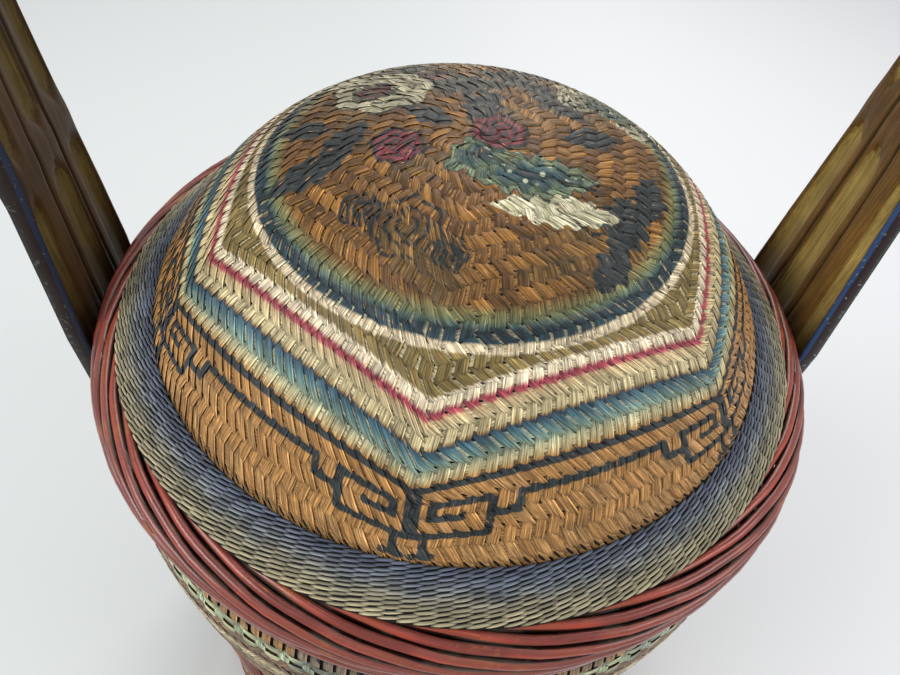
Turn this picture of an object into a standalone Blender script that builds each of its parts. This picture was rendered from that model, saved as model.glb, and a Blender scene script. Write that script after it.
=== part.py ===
"""Painted two-tier carrying basket with a domed lid and a bent bamboo handle.

Metres, +Z up. The origin is the middle of the foot, on the ground. The handle stands in the
XZ plane, and the front of the basket is on the -Y side.
"""
from math import cos, pi, radians, sin, sqrt

import bmesh
import bpy
from mathutils import Matrix, Vector
from mathutils.bvhtree import BVHTree

# Overall
rim_outer_radius = 0.190        # over the rods of the lid's rim rope
lower_rim_setback = 0.0055      # the lower tier's rim rope stands this far inside it
lower_tier_pitch = 0.186        # foot rope to rim rope, centre to centre
upper_tier_pitch = 0.2029       # rim rope to rim rope, centre to centre
ring_steps = 32                 # facets of every round piece

# Fits
seat_gap = 0.0003               # between pieces that touch
nest_clearance = 0.0010         # between a hoop and the mouth that it drops into
pin_clearance = 0.0003          # round a pin or peg in its hole
merge_distance = 0.00005        # points closer than this are one point
sharp_angle = radians(35)       # edges sharper than this stay crisp

# Twisted cane rope of the rims: rods laid side by side round a core
rope_radius = 0.0133            # over the rods
rope_rods = 14
rod_groove = 0.0014             # depth of the groove between two rods
lay_rods = 31                   # rods that the lay moves on by in one trip round the ring
upper_rope_radius = 0.0115      # the upper tier's rim has a thinner rope, which the lid's hides
upper_rope_rods = 12
upper_lay_rods = 25

# Bamboo hoops
hoop_wall = 0.0030
collar_wall = 0.0055            # two plies
collar_depth = 0.030            # the lid's collar below the lid rope's middle
mouth_hoop_depth = 0.032        # below the rim rope's middle
mouth_hoop_rise = 0.0065        # above the rim rope's middle
foot_hoop_drop = 0.016          # the upper tier's hoop below its floor

# Plaited walls, floors and dome
plait_wall = 0.0030
floor_thickness = 0.0030
belly_bulge = 0.0005            # of each wall, past its rim rope
upper_shoulder_setback = 0.0050  # inside the rim rope's outer side
upper_wall_foot_setback = 0.0110
upper_belly_share = 0.21        # down the wall, where it is widest
lower_shoulder_setback = 0.0055
lower_wall_foot_setback = 0.0125
lower_belly_share = 0.24
wall_rings = 5                  # steps down each wall
wall_draw_power = 1.5           # how late the wall draws in below its belly

# Lid dome and the twined band round it
dome_setback = 0.0035           # the dome's foot stands this far inside the collar's outer side
dome_height = 0.1148            # crown above the lid rope's middle
dome_edge_height = 0.0247
dome_round_share = 0.42         # part of the fall that goes as the square, the rest as the fourth power
dome_rings = 8
band_thickness = 0.0018
band_edge_setback = 0.0023      # the band ends this far inside the rope's crown
band_crown = 0.0010             # how far the band's middle stands over a straight slope

# Battens under the floors
batten_width = 0.022
batten_thickness = 0.006
batten_chamfer = 0.0010
batten_end_clearance = 0.0012   # to the hoop round it, past the hoop's facets

# Handle: three bent bamboo slats side by side
slat_thickness = 0.012
slat_width = 0.0164             # over the arch
slat_foot_width_share = 1.58    # of that width, from the lid's rim down
slat_gap = 0.0006
slat_chamfer = 0.0016
handle_setback = 0.0124         # the handle stands this far behind the basket's middle
arch_clearance = 0.140          # over the dome's crown
fan_rise = 0.1425               # above the lid rope's middle, where the slats start to widen
corner_radius = 0.090           # inside, at the handle's shoulders
corner_angle = radians(75)
corner_steps = 6
crown_steps = 3                 # on each side of the middle
node_spacing = 0.262            # between two knots of the bamboo
node_rise = 0.0895              # of the knot beside the dome, above the lid rope's middle
node_swell = 0.0012
node_half_length = 0.011
knot_step_shares = (-1, -0.4, 0.4, 1)  # of a knot's half length, where its outline has points

# Pins and pegs of the handle
pin_radius = 0.0022
pin_edge_inset = 0.0008         # the pin's ends lie this far inside the outer slats' sides
pin_height_shares = (0.52, 0.64)  # of the lower and the upper tier's pitch, above its lower rope
peg_radius = 0.0025
peg_head_radius = 0.0042
peg_head_height = 0.0018
peg_head_top_share = 0.6        # of the head's radius, at its flat top
peg_sides = 8
cut_overrun = 0.004             # a cutter runs this far past the face that it cuts

# Places worked out from the sizes above
foot_outer_radius = rim_outer_radius
lower_rim_outer_radius = rim_outer_radius - lower_rim_setback
upper_belly_radius = rim_outer_radius + belly_bulge
lower_belly_radius = lower_rim_outer_radius + belly_bulge
rope_centre_radius = rim_outer_radius - rope_radius
lower_rope_centre_radius = lower_rim_outer_radius - rope_radius
foot_rope_centre_radius = foot_outer_radius - rope_radius
foot_rope_height = rope_radius + seat_gap
lower_rim_height = foot_rope_height + lower_tier_pitch
upper_rim_height = lower_rim_height + upper_tier_pitch
upper_mouth_radius = rope_centre_radius - rope_radius - seat_gap
upper_rope_centre_radius = upper_mouth_radius + seat_gap + upper_rope_radius
rope_reach = rope_radius + upper_rope_radius + seat_gap
rope_offset = rope_centre_radius - upper_rope_centre_radius
lid_rim_height = upper_rim_height + sqrt(rope_reach ** 2 - rope_offset ** 2)
dome_crown_height = lid_rim_height + dome_height
upper_floor_height = lower_rim_height + rope_radius + seat_gap
lower_floor_height = foot_rope_height + rope_radius + seat_gap
lower_mouth_radius = lower_rope_centre_radius - rope_radius - seat_gap
foot_hoop_radius = foot_rope_centre_radius - rope_radius - seat_gap
collar_radius = upper_mouth_radius - hoop_wall - nest_clearance
nest_hoop_radius = lower_mouth_radius - hoop_wall - nest_clearance
dome_edge_radius = collar_radius - dome_setback
band_edge_radius = rope_centre_radius - band_edge_setback
slat_inner_reach = upper_belly_radius + node_swell + seat_gap
node_height = lid_rim_height + node_rise
low_pin_height = foot_rope_height + lower_tier_pitch * pin_height_shares[0]
high_pin_height = lower_rim_height + upper_tier_pitch * pin_height_shares[1]
slat_pitch = slat_width + slat_gap
foot_slat_pitch = slat_pitch * slat_foot_width_share
foot_half_width = foot_slat_pitch + slat_foot_width_share * slat_width / 2

FINISHES = {
    "red_lacquered_cane": ((0.28, 0.055, 0.040), 0.38),
    "painted_plait": ((0.42, 0.26, 0.12), 0.62),
    "twined_cane": ((0.16, 0.16, 0.17), 0.60),
    "plain_plait": ((0.45, 0.31, 0.16), 0.70),
    "split_bamboo": ((0.33, 0.22, 0.09), 0.48),
    "hoop_bamboo": ((0.24, 0.12, 0.055), 0.55),
    "peg_bamboo": ((0.14, 0.07, 0.035), 0.50),
}


def clear_scene():
    """Leave nothing of an earlier run behind."""
    for old in list(bpy.data.objects):
        bpy.data.objects.remove(old, do_unlink=True)


def collection(name):
    """A collection of this name, linked to the scene."""
    made = bpy.data.collections.get(name) or bpy.data.collections.new(name)
    if made.name not in bpy.context.scene.collection.children:
        bpy.context.scene.collection.children.link(made)
    return made


def finish(name):
    """The material of one finish, with the real one's colour and roughness."""
    material = bpy.data.materials.get(name)
    if material:
        return material
    colour, roughness = FINISHES[name]
    material = bpy.data.materials.new(name)
    material.use_nodes = True
    shader = material.node_tree.nodes["Principled BSDF"]
    shader.inputs["Base Color"].default_value = (*colour, 1)
    shader.inputs["Roughness"].default_value = roughness
    shader.inputs["Metallic"].default_value = 0
    return material


def add_part(name, data, finish_name, carrier):
    """An object for one piece, carried by the empty of its body."""
    part = bpy.data.objects.new(name, data)
    parts.objects.link(part)
    part.parent = carrier
    part.matrix_parent_inverse = carrier.matrix_world.inverted()
    part.data.materials.append(finish(finish_name))
    return part


def add_guide(name, data):
    """A cutter or a section, which isn't a piece of the basket."""
    guide = bpy.data.objects.new(name, data)
    cutters.objects.link(guide)
    guide.hide_render = True
    guide.display_type = "WIRE"
    return guide


def shade(mesh):
    """Smooth shading that keeps the real edges."""
    mesh.shade_smooth()
    mesh.set_sharp_from_angle(angle=sharp_angle)


def profile_mesh(name, points, closed):
    """A profile of (radius, height) points in the XZ plane."""
    mesh = bpy.data.meshes.new(name)
    edges = [(i, i + 1) for i in range(len(points) - 1)]
    if closed:
        edges.append((len(points) - 1, 0))
    mesh.from_pydata([(radius, 0, height) for radius, height in points], edges, [])
    return mesh


def turn(part, steps=ring_steps):
    """Revolve the part's profile about Z."""
    screw = part.modifiers.new("turn", "SCREW")
    screw.axis = "Z"
    screw.angle = 2 * pi
    screw.steps = steps
    screw.render_steps = steps
    screw.use_merge_vertices = True
    screw.merge_threshold = merge_distance
    screw.use_smooth_shade = True


def turned_solid(name, points, finish_name, carrier, closed=True):
    """A ring whose section is the closed profile, or a disc whose profile ends on the axis."""
    part = add_part(name, profile_mesh(name, points, closed), finish_name, carrier)
    turn(part)
    return part


def turned_shell(name, points, wall, finish_name, carrier):
    """A revolved open surface, given its wall on the inner side."""
    part = add_part(name, profile_mesh(name, points, False), finish_name, carrier)
    turn(part)
    solidify = part.modifiers.new("wall", "SOLIDIFY")
    solidify.thickness = wall
    solidify.offset = -1
    solidify.use_even_offset = True
    return part


def hoop(name, outer_radius, wall, bottom, top, carrier):
    """A flat bamboo hoop standing on edge."""
    inner_radius = outer_radius - wall
    points = [(outer_radius, top), (outer_radius, bottom), (inner_radius, bottom), (inner_radius, top)]
    return turned_solid(name, points, "hoop_bamboo", carrier)


def rope(name, over_rods, rods, lay):
    """One kind of rope: its fluted outline, with a crest on each rod, and its turns in a trip."""
    curve = bpy.data.curves.new(name, "CURVE")
    curve.dimensions = "2D"
    spline = curve.splines.new("POLY")
    spline.points.add(2 * rods - 1)
    for i, point in enumerate(spline.points):
        angle = -pi * i / rods
        radius = over_rods - rod_groove * (i % 2)
        point.co = (radius * cos(angle), radius * sin(angle), 0, 1)
    spline.use_cyclic_u = True
    return {"section": add_guide(name, curve), "turns": lay / rods, "radius": over_rods}


def rope_ring(name, centre_radius, height, kind, carrier):
    """Rods laid in a long twist round a core, bent to a ring that closes on itself.

    The section turns as it travels, by a whole number of rods in one trip, so that each
    rod's end runs into the next rod's start.
    """
    curve = bpy.data.curves.new(name, "CURVE")
    curve.dimensions = "3D"
    curve.twist_mode = "Z_UP"
    curve.bevel_mode = "OBJECT"
    curve.bevel_object = kind["section"]
    spline = curve.splines.new("POLY")
    spline.points.add(ring_steps - 1)
    lay_angle = 2 * pi * kind["turns"]
    for i, point in enumerate(spline.points):
        trip = i / ring_steps
        angle = 2 * pi * trip
        point.co = (centre_radius * cos(angle), centre_radius * sin(angle), height, 1)
        point.tilt = -lay_angle * trip
    spline.use_cyclic_u = True
    return add_part(name, curve, "red_lacquered_cane", carrier)


def wall_outline(hoop_radius, shoulder_radius, belly_radius, foot_radius, belly_share, top, bottom):
    """A tier's wall: a shoulder that turns in under the rope, a belly, and a foot drawn in."""
    points = [(hoop_radius + seat_gap, top), (shoulder_radius - plait_wall, top)]
    drop = top - bottom
    bend = plait_wall
    for i in range(wall_rings + 1):
        share = i / wall_rings
        if share < belly_share:
            fall = (belly_share - share) / belly_share
            radius = belly_radius - (belly_radius - shoulder_radius) * fall ** 2
        else:
            fall = (share - belly_share) / (1 - belly_share)
            radius = belly_radius - (belly_radius - foot_radius) * fall ** wall_draw_power
        height = top - bend - (drop - bend) * share
        points.append((radius, height))
    return points


def disc(name, radius, underside, finish_name, carrier):
    """A round plaited floor."""
    top = underside + floor_thickness
    points = [(0, top), (radius, top), (radius, underside), (0, underside)]
    return turned_solid(name, points, finish_name, carrier, closed=False)


def bar(name, size, height, carrier):
    """A flat bamboo bar across the middle, with its edges broken."""
    mesh = bpy.data.meshes.new(name)
    shape = bmesh.new()
    place = Matrix.Translation((0, 0, height)) @ Matrix.Diagonal((*size, 1))
    bmesh.ops.create_cube(shape, size=1, matrix=place)
    edges = shape.edges[:]
    bmesh.ops.bevel(shape, geom=edges, offset=batten_chamfer, segments=1, profile=0.5, affect="EDGES")
    shape.to_mesh(mesh)
    shape.free()
    return add_part(name, mesh, "split_bamboo", carrier)


def battens(tier, hoop_inner_radius, underside, carrier):
    """Two bars crossed under a floor, one below the other, held by the hoop round them."""
    half_chord = sqrt((hoop_inner_radius - batten_end_clearance) ** 2 - (batten_width / 2) ** 2)
    length = 2 * half_chord
    upper = underside - seat_gap - batten_thickness / 2
    lower = upper - batten_thickness - seat_gap
    bar(f"{tier}_floor_batten", (length, batten_width, batten_thickness), upper, carrier)
    bar(f"{tier}_cross_batten", (batten_width, length, batten_thickness), lower, carrier)


def make_lid(kind, lid):
    """Dome, twined band, rim rope, and the collar that drops into the upper tier's mouth."""
    rope_ring("lid_rim_rope", rope_centre_radius, lid_rim_height, kind, lid)
    inner_top = lid_rim_height + dome_edge_height
    outer_bottom = lid_rim_height + rope_radius + seat_gap
    outer_top = outer_bottom + band_thickness
    inner_bottom = inner_top - band_thickness
    inner_radius = dome_edge_radius + seat_gap
    middle_radius = (inner_radius + band_edge_radius) / 2
    middle_top = (inner_top + outer_top) / 2 + band_crown
    middle_bottom = (inner_bottom + outer_bottom) / 2 + band_crown
    band = [
        (inner_radius, inner_top),
        (middle_radius, middle_top),
        (band_edge_radius, outer_top),
        (band_edge_radius, outer_bottom),
        (middle_radius, middle_bottom),
        (inner_radius, inner_bottom),
    ]
    turned_solid("lid_twined_band", band, "twined_cane", lid)
    slope = (inner_bottom - outer_bottom) / (band_edge_radius - inner_radius)
    collar_top = inner_bottom - slope * (collar_radius - inner_radius) - seat_gap
    hoop("lid_collar_hoop", collar_radius, collar_wall, lid_rim_height - collar_depth, collar_top, lid)
    fall = dome_height - dome_edge_height
    dome = []
    for i in range(dome_rings + 1):
        share = i / dome_rings
        drop = fall * (dome_round_share * share ** 2 + (1 - dome_round_share) * share ** 4)
        dome.append((dome_edge_radius * share, dome_crown_height - drop))
    dome.append((dome_edge_radius, collar_top + seat_gap))
    turned_shell("lid_dome", dome, plait_wall, "painted_plait", lid)


def make_tier(tier, kind, carrier, sizes):
    """Rim rope, mouth hoop, bellied wall and floor of one tier."""
    rope_ring(f"{tier}_rim_rope", sizes["rope_centre"], sizes["rim_height"], kind, carrier)
    mouth = sizes["mouth_radius"]
    wall_top = sizes["rim_height"] - kind["radius"] - seat_gap
    hoop_bottom = sizes["rim_height"] - mouth_hoop_depth
    hoop(f"{tier}_mouth_hoop", mouth, hoop_wall, hoop_bottom, sizes["rim_height"] + mouth_hoop_rise, carrier)
    wall = wall_outline(
        mouth,
        sizes["shoulder"],
        sizes["belly"],
        sizes["foot"],
        sizes["belly_share"],
        wall_top,
        sizes["floor_height"],
    )
    turned_shell(f"{tier}_wall", wall, plait_wall, "painted_plait", carrier)
    foot_slope = (wall[-2][0] - wall[-1][0]) / (wall[-2][1] - wall[-1][1])
    floor_radius = sizes["foot"] - plait_wall * sqrt(1 + foot_slope ** 2) - seat_gap
    disc(f"{tier}_floor", floor_radius, sizes["floor_height"], "plain_plait", carrier)


def make_upper_tier(kind, upper):
    """The tray that lifts off, with the hoop that nests in the lower tier's mouth."""
    sizes = {
        "rope_centre": upper_rope_centre_radius,
        "rim_height": upper_rim_height,
        "mouth_radius": upper_mouth_radius,
        "shoulder": rim_outer_radius - upper_shoulder_setback,
        "belly": upper_belly_radius,
        "foot": rim_outer_radius - upper_wall_foot_setback,
        "belly_share": upper_belly_share,
        "floor_height": upper_floor_height,
    }
    make_tier("upper", kind, upper, sizes)
    hoop_top = upper_floor_height - seat_gap
    hoop("upper_nest_hoop", nest_hoop_radius, hoop_wall, hoop_top - foot_hoop_drop, hoop_top, upper)
    battens("upper", nest_hoop_radius - hoop_wall, upper_floor_height, upper)


def make_lower_tier(kind, base):
    """The basket that the handle is pegged to, on its foot rope and foot hoop."""
    sizes = {
        "rope_centre": lower_rope_centre_radius,
        "rim_height": lower_rim_height,
        "mouth_radius": lower_mouth_radius,
        "shoulder": lower_rim_outer_radius - lower_shoulder_setback,
        "belly": lower_belly_radius,
        "foot": lower_rim_outer_radius - lower_wall_foot_setback,
        "belly_share": lower_belly_share,
        "floor_height": lower_floor_height,
    }
    make_tier("lower", kind, base, sizes)
    rope_ring("lower_foot_rope", foot_rope_centre_radius, foot_rope_height, kind, base)
    hoop("lower_foot_hoop", foot_hoop_radius, hoop_wall, 0, lower_floor_height - seat_gap, base)
    battens("lower", foot_hoop_radius - hoop_wall, lower_floor_height, base)


def swell(length_along):
    """How far a slat's face stands out at this height or length, at the bamboo's knots."""
    offset = (length_along - node_height) % node_spacing
    distance = min(offset, node_spacing - offset)
    if distance >= node_half_length:
        return 0
    return node_swell * (1 + cos(pi * distance / node_half_length)) / 2


def fan(height):
    """How many times their width over the arch the slats measure at this height."""
    share = (lid_rim_height + fan_rise - height) / fan_rise
    return 1 + (slat_foot_width_share - 1) * min(max(share, 0), 1)


def arch_half():
    """Half of the slats' inner line, from the foot up to the crown, as (x, z, normal angle, length)."""
    shoulder = slat_inner_reach - corner_radius
    big_radius = corner_radius + shoulder / cos(corner_angle)
    rise = big_radius - (big_radius - corner_radius) * sin(corner_angle)
    spring = dome_crown_height + arch_clearance - rise
    line = []
    knots = [node_height - node_spacing * k for k in range(int(node_height / node_spacing) + 2)]
    heights = [0, lid_rim_height, lid_rim_height + fan_rise, spring]
    for knot in knots:
        heights += [knot + step * node_half_length for step in knot_step_shares]
    for height in sorted(value for value in heights if 0 <= value <= spring):
        line.append((slat_inner_reach, height, 0, height))
    for i in range(1, corner_steps + 1):
        angle = corner_angle * i / corner_steps
        x = shoulder + corner_radius * cos(angle)
        z = spring + corner_radius * sin(angle)
        line.append((x, z, angle, spring + corner_radius * angle))
    big_middle = spring + rise - big_radius
    corner_length = spring + corner_radius * corner_angle
    for i in range(1, crown_steps + 1):
        angle = corner_angle + (pi / 2 - corner_angle) * i / crown_steps
        x = big_radius * cos(angle)
        z = big_middle + big_radius * sin(angle)
        line.append((x, z, angle, corner_length + big_radius * (angle - corner_angle)))
    return line


def slat_line():
    """The slat seen from the front, foot to foot: its points inside and outside, as (x, z) pairs."""
    right = []
    for x, z, angle, along in arch_half():
        bump = swell(along)
        reach = slat_thickness + bump
        inner = (x - bump * cos(angle), z - bump * sin(angle))
        outer = (x + reach * cos(angle), z + reach * sin(angle))
        right.append((inner, outer))
    left = [((-inner[0], inner[1]), (-outer[0], outer[1])) for inner, outer in right[-2::-1]]
    return right + left


def slat(name, index, line, holes, base):
    """One bent bamboo slat, wider towards its feet, with chamfered edges and its peg holes."""
    shape = bmesh.new()
    front = handle_setback + index * slat_pitch - slat_width / 2
    verts = [bmesh.ops.create_vert(shape, co=(x, front, z))["vert"][0] for (x, z), outer in line]
    edges = [shape.edges.new(pair) for pair in zip(verts, verts[1:])]
    bmesh.ops.extrude_edge_only(shape, edges=edges)
    for vert, (inner, (x, z)) in zip(verts, line):
        rung = next(edge for edge in vert.link_edges if edge not in edges)
        rung.other_vert(vert).co = (x, front, z)
    made = bmesh.ops.extrude_face_region(shape, geom=shape.faces[:])["geom"]
    behind = [item for item in made if isinstance(item, bmesh.types.BMVert)]
    bmesh.ops.translate(shape, vec=(0, slat_width, 0), verts=behind)
    for vert in shape.verts:
        vert.co.y = handle_setback + (vert.co.y - handle_setback) * fan(vert.co.z)
    bmesh.ops.recalc_face_normals(shape, faces=shape.faces)
    mesh = bpy.data.meshes.new(name)
    shape.to_mesh(mesh)
    shape.free()
    shade(mesh)
    part = add_part(name, mesh, "split_bamboo", base)
    bevel = part.modifiers.new("chamfer", "BEVEL")
    bevel.width = slat_chamfer
    bevel.segments = 1
    bevel.limit_method = "ANGLE"
    bevel.angle_limit = radians(60)
    for i, hole in enumerate(holes):
        cut = part.modifiers.new(f"hole_{i}", "BOOLEAN")
        cut.operation = "DIFFERENCE"
        cut.object = hole
    return part


def rod_mesh(name, profile, axis, origin):
    """A profile of (radius, length) points revolved about a line through the origin given."""
    mesh = bpy.data.meshes.new(name)
    shape = bmesh.new()
    turn_to_axis = Vector((0, 0, 1)).rotation_difference(Vector(axis)).to_matrix().to_4x4()
    rows = []
    for radius, length in profile:
        ring = bmesh.ops.create_circle(shape, segments=peg_sides, radius=radius)["verts"]
        place = Matrix.Translation((0, 0, length)) @ Matrix.Rotation(pi / peg_sides, 4, "Z")
        bmesh.ops.transform(shape, matrix=place, verts=ring)
        rows.append(ring)
    for lower, upper in zip(rows, rows[1:]):
        edges = {edge for vert in lower + upper for edge in vert.link_edges}
        edges = [edge for edge in edges if set(edge.verts) <= set(lower) or set(edge.verts) <= set(upper)]
        bmesh.ops.bridge_loops(shape, edges=edges)
    bmesh.ops.holes_fill(shape, edges=[edge for edge in shape.edges if edge.is_boundary])
    bmesh.ops.transform(shape, matrix=Matrix.Translation(origin) @ turn_to_axis, verts=shape.verts)
    bmesh.ops.recalc_face_normals(shape, faces=shape.faces)
    if shape.calc_volume(signed=True) < 0:
        bmesh.ops.reverse_faces(shape, faces=shape.faces)
    shape.to_mesh(mesh)
    shape.free()
    shade(mesh)
    return mesh


def cross_pins(base):
    """Pins that hold the three slats side by side, and their cutters."""
    cuts = []
    half = foot_half_width - pin_edge_inset
    middle = slat_inner_reach + slat_thickness / 2
    for side, label in ((-1, "left"), (1, "right")):
        for height, level in ((low_pin_height, "low"), (high_pin_height, "high")):
            origin = (side * middle, handle_setback, height)
            pin = [(pin_radius, -half), (pin_radius, half)]
            mesh = rod_mesh("pin", pin, (0, 1, 0), origin)
            add_part(f"cross_pin_{label}_{level}", mesh, "peg_bamboo", base)
            reach = foot_half_width + cut_overrun
            hole_radius = pin_radius + pin_clearance
            hole = rod_mesh("hole", [(hole_radius, -reach), (hole_radius, reach)], (0, 1, 0), origin)
            cuts.append(add_guide(f"pin_hole_{label}_{level}", hole))
    return cuts


def surface_tree(part):
    """The faces of a finished piece, to find where a line meets it."""
    bpy.context.view_layer.update()
    depsgraph = bpy.context.evaluated_depsgraph_get()
    mesh = bpy.data.meshes.new_from_object(part.evaluated_get(depsgraph))
    shape = bmesh.new()
    shape.from_mesh(mesh)
    tree = BVHTree.FromBMesh(shape)
    shape.free()
    bpy.data.meshes.remove(mesh)
    return tree


def peg_tip(rope, side, y, height):
    """How far out a peg's tip lies when it rests on the rope, with the seat's gap."""
    outside = slat_inner_reach + slat_thickness
    reaches = []
    for i in range(2 * peg_sides):
        angle = pi * i / peg_sides
        start = (side * outside, y + peg_radius * cos(angle), height + peg_radius * sin(angle))
        hit = rope.ray_cast(start, (-side, 0, 0))[0]
        reaches.append(abs(hit.x))
    return max(reaches) + seat_gap


def pegs(level, slat_name, y, height, rope, base):
    """Headed pegs through a slat, left and right, whose tips meet the rope beside it."""
    cuts = []
    outside = slat_inner_reach + slat_thickness + swell(height)
    for side, label in ((-1, "left"), (1, "right")):
        tip = peg_tip(rope, side, y, height)
        head = outside + seat_gap
        profile = [
            (peg_radius, tip),
            (peg_radius, head),
            (peg_head_radius, head),
            (peg_head_radius * peg_head_top_share, head + peg_head_height),
        ]
        name = f"{level}_peg_{label}_{slat_name}"
        axis = (side, 0, 0)
        add_part(name, rod_mesh(name, profile, axis, (0, y, height)), "peg_bamboo", base)
        hole_radius = peg_radius + pin_clearance
        hole = [(hole_radius, slat_inner_reach - cut_overrun), (hole_radius, outside + cut_overrun)]
        cuts.append(add_guide(f"{name}_hole", rod_mesh("hole", hole, axis, (0, y, height))))
    return cuts


def make_handle(base):
    """Three slats bent in one arch, pinned together and pegged to the lower tier's two ropes."""
    foot_rope = surface_tree(parts.objects["lower_foot_rope"])
    rim_rope = surface_tree(parts.objects["lower_rim_rope"])
    line = slat_line()
    pins = cross_pins(base)
    for index, slat_name in ((-1, "front"), (0, "middle"), (1, "back")):
        y = handle_setback + index * foot_slat_pitch
        holes = list(pins)
        holes += pegs("foot", slat_name, y, foot_rope_height, foot_rope, base)
        holes += pegs("rim", slat_name, y, lower_rim_height, rim_rope, base)
        slat(f"handle_slat_{slat_name}", index, line, holes, base)


def make_carriers():
    """One empty for each body, on the axis along which it lifts."""
    carriers = {}
    for name, parent, height in (
        ("base", None, 0),
        ("upper_tier", "base", upper_floor_height),
        ("lid", "upper_tier", lid_rim_height),
    ):
        empty = bpy.data.objects.new(f"{name}_axis", None)
        parts.objects.link(empty)
        if parent:
            empty.parent = carriers[parent]
            empty.matrix_parent_inverse = carriers[parent].matrix_world.inverted()
        empty.location = (0, 0, height)
        bpy.context.view_layer.update()
        carriers[name] = empty
    return carriers


clear_scene()
parts = collection("painted_carrying_basket")
cutters = collection("cutters")
carriers = make_carriers()
stout_rope = rope("rope_section", rope_radius, rope_rods, lay_rods)
thin_rope = rope("upper_rope_section", upper_rope_radius, upper_rope_rods, upper_lay_rods)
make_lower_tier(stout_rope, carriers["base"])
make_handle(carriers["base"])
make_upper_tier(thin_rope, carriers["upper_tier"])
make_lid(stout_rope, carriers["lid"])
bpy.context.view_layer.update()
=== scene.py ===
"""Painted two-tier wedding basket: its plaiting, cane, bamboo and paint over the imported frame."""
from bisect import bisect_right
from math import atan2, cos, hypot, pi, radians, sin, tan
from random import Random

import bmesh
import bpy
from mathutils import Color, Matrix, Vector, noise


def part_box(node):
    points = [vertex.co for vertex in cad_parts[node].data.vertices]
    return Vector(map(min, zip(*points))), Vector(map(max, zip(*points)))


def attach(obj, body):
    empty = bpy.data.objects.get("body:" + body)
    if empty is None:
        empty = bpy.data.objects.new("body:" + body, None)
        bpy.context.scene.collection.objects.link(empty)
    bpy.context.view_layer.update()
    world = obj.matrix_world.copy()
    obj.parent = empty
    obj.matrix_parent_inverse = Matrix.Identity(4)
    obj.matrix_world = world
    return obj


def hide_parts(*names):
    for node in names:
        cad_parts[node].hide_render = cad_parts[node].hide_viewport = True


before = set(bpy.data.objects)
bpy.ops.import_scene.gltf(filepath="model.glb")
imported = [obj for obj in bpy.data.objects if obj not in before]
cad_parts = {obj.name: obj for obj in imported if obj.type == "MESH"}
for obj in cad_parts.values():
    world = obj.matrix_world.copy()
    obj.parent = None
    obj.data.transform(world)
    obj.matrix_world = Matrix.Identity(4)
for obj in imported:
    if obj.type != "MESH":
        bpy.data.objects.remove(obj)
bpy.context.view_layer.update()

bl_info = {
    "name": "Painted wedding basket",
    "version": (1, 0, 0),
    "blender": (4, 5, 0),
    "location": "View3D > Sidebar > Basket",
    "description": "Plaits, winds and paints a two-tier wedding basket over its packed frame",
    "category": "Add Mesh",
}

MM = 0.001
SIXTH = pi / 3


# Sizes and colours that a user would change

def linear(code):
    """The linear red, green and blue of an sRGB hex value such as "#a8713a"."""
    values = [int(code[i:i + 2], 16) / 255 for i in (1, 3, 5)]
    return tuple(v / 12.92 if v <= 0.04045 else ((v + 0.055) / 1.055) ** 2.4 for v in values)


def shade(tint):
    """A hex value, or one of the basket's colours, as a colour socket takes it."""
    return (*(linear(tint) if isinstance(tint, str) else tint), 1.0)


def length(name, description, millimetres):
    """A property for one length of the basket."""
    return bpy.props.FloatProperty(
        name=name, description=description, default=millimetres * MM, min=0,
        subtype="DISTANCE", unit="LENGTH",
    )


def colour(name, description, code):
    """A property for one of the basket's colours."""
    return bpy.props.FloatVectorProperty(
        name=name, description=description, default=linear(code), min=0, max=1, size=3, subtype="COLOR"
    )


class BasketSizes(bpy.types.PropertyGroup):
    """Sizes of the plait, the twined band and the slats."""

    split: length("Split", "Width along a row that one split of the dome takes up", 6.1)
    lining_depth: length("Lining depth", "Depth of the dark inner layer below the plait's surface", 1.6)
    stake_spacing: length("Stake spacing", "Spacing of the stakes that the band is twined over", 6.6)
    twine_pitch: length("Twining pitch", "Spacing of two rows of the twined band", 1.8)
    wall_split: length("Wall split", "Width along a row that one split of the walls takes up", 6.4)
    slat_hollow: length("Slat hollow", "Depth of the hollow along a slat's inner face", 3.2)


class BasketColours(bpy.types.PropertyGroup):
    """Colours of the paint, lacquer and bare bamboo."""

    plait: colour("Plait", "Oiled bamboo splits where no paint lies", "#b5854e")
    khaki: colour("Khaki", "Paint of the triangles round the medallion", "#7e6c40")
    cream: colour("Cream", "Paint of the pale bands", "#efe0c2")
    red_band: colour("Red band", "Paint of the thin red hexagon", "#a04450")
    blue_band: colour("Blue band", "Paint of the blue hexagon", "#364a59")
    teal_band: colour("Teal band", "Paint where the blue hexagon fades", "#6f8a82")
    slate: colour("Slate", "Paint of the fret and the leaves", "#3a4042")
    ring: colour("Ring", "Paint of the medallion's ring", "#27353b")
    lacquer: colour("Lacquer", "Red lacquer of the cane rims", "#a4402c")
    strand: colour("Strand", "Bare strands at the twined band's outer edge", "#b5aa88")
    bamboo: colour("Bamboo", "Hollow inner face of the handle's slats", "#c4aa66")
    floor: colour("Floor", "Studio floor", "#dce0e0")


# Places that come from the frame

lid_rope_low, lid_rope_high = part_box("lid_rim_rope")
dome_low, dome_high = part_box("lid_dome")
band_low, band_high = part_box("lid_twined_band")
slat_low, slat_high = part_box("handle_slat_middle")

RIM_HEIGHT = (lid_rope_low.z + lid_rope_high.z) / 2
CROWN_HEIGHT = dome_high.z
DOME_RADIUS = dome_high.x
EDGE_HEIGHT = band_high.z
DOME_FOOT = dome_low.z
DOME_ROUND_SHARE = 0.42         # of the dome's fall goes as the square, the rest as the fourth power
FRONT_CORNER = radians(-10.8)   # from the front towards +X, where two sides of the painted hexagon meet

SPLIT_FACTS = ("tone", "across", "along", "hole")


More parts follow.
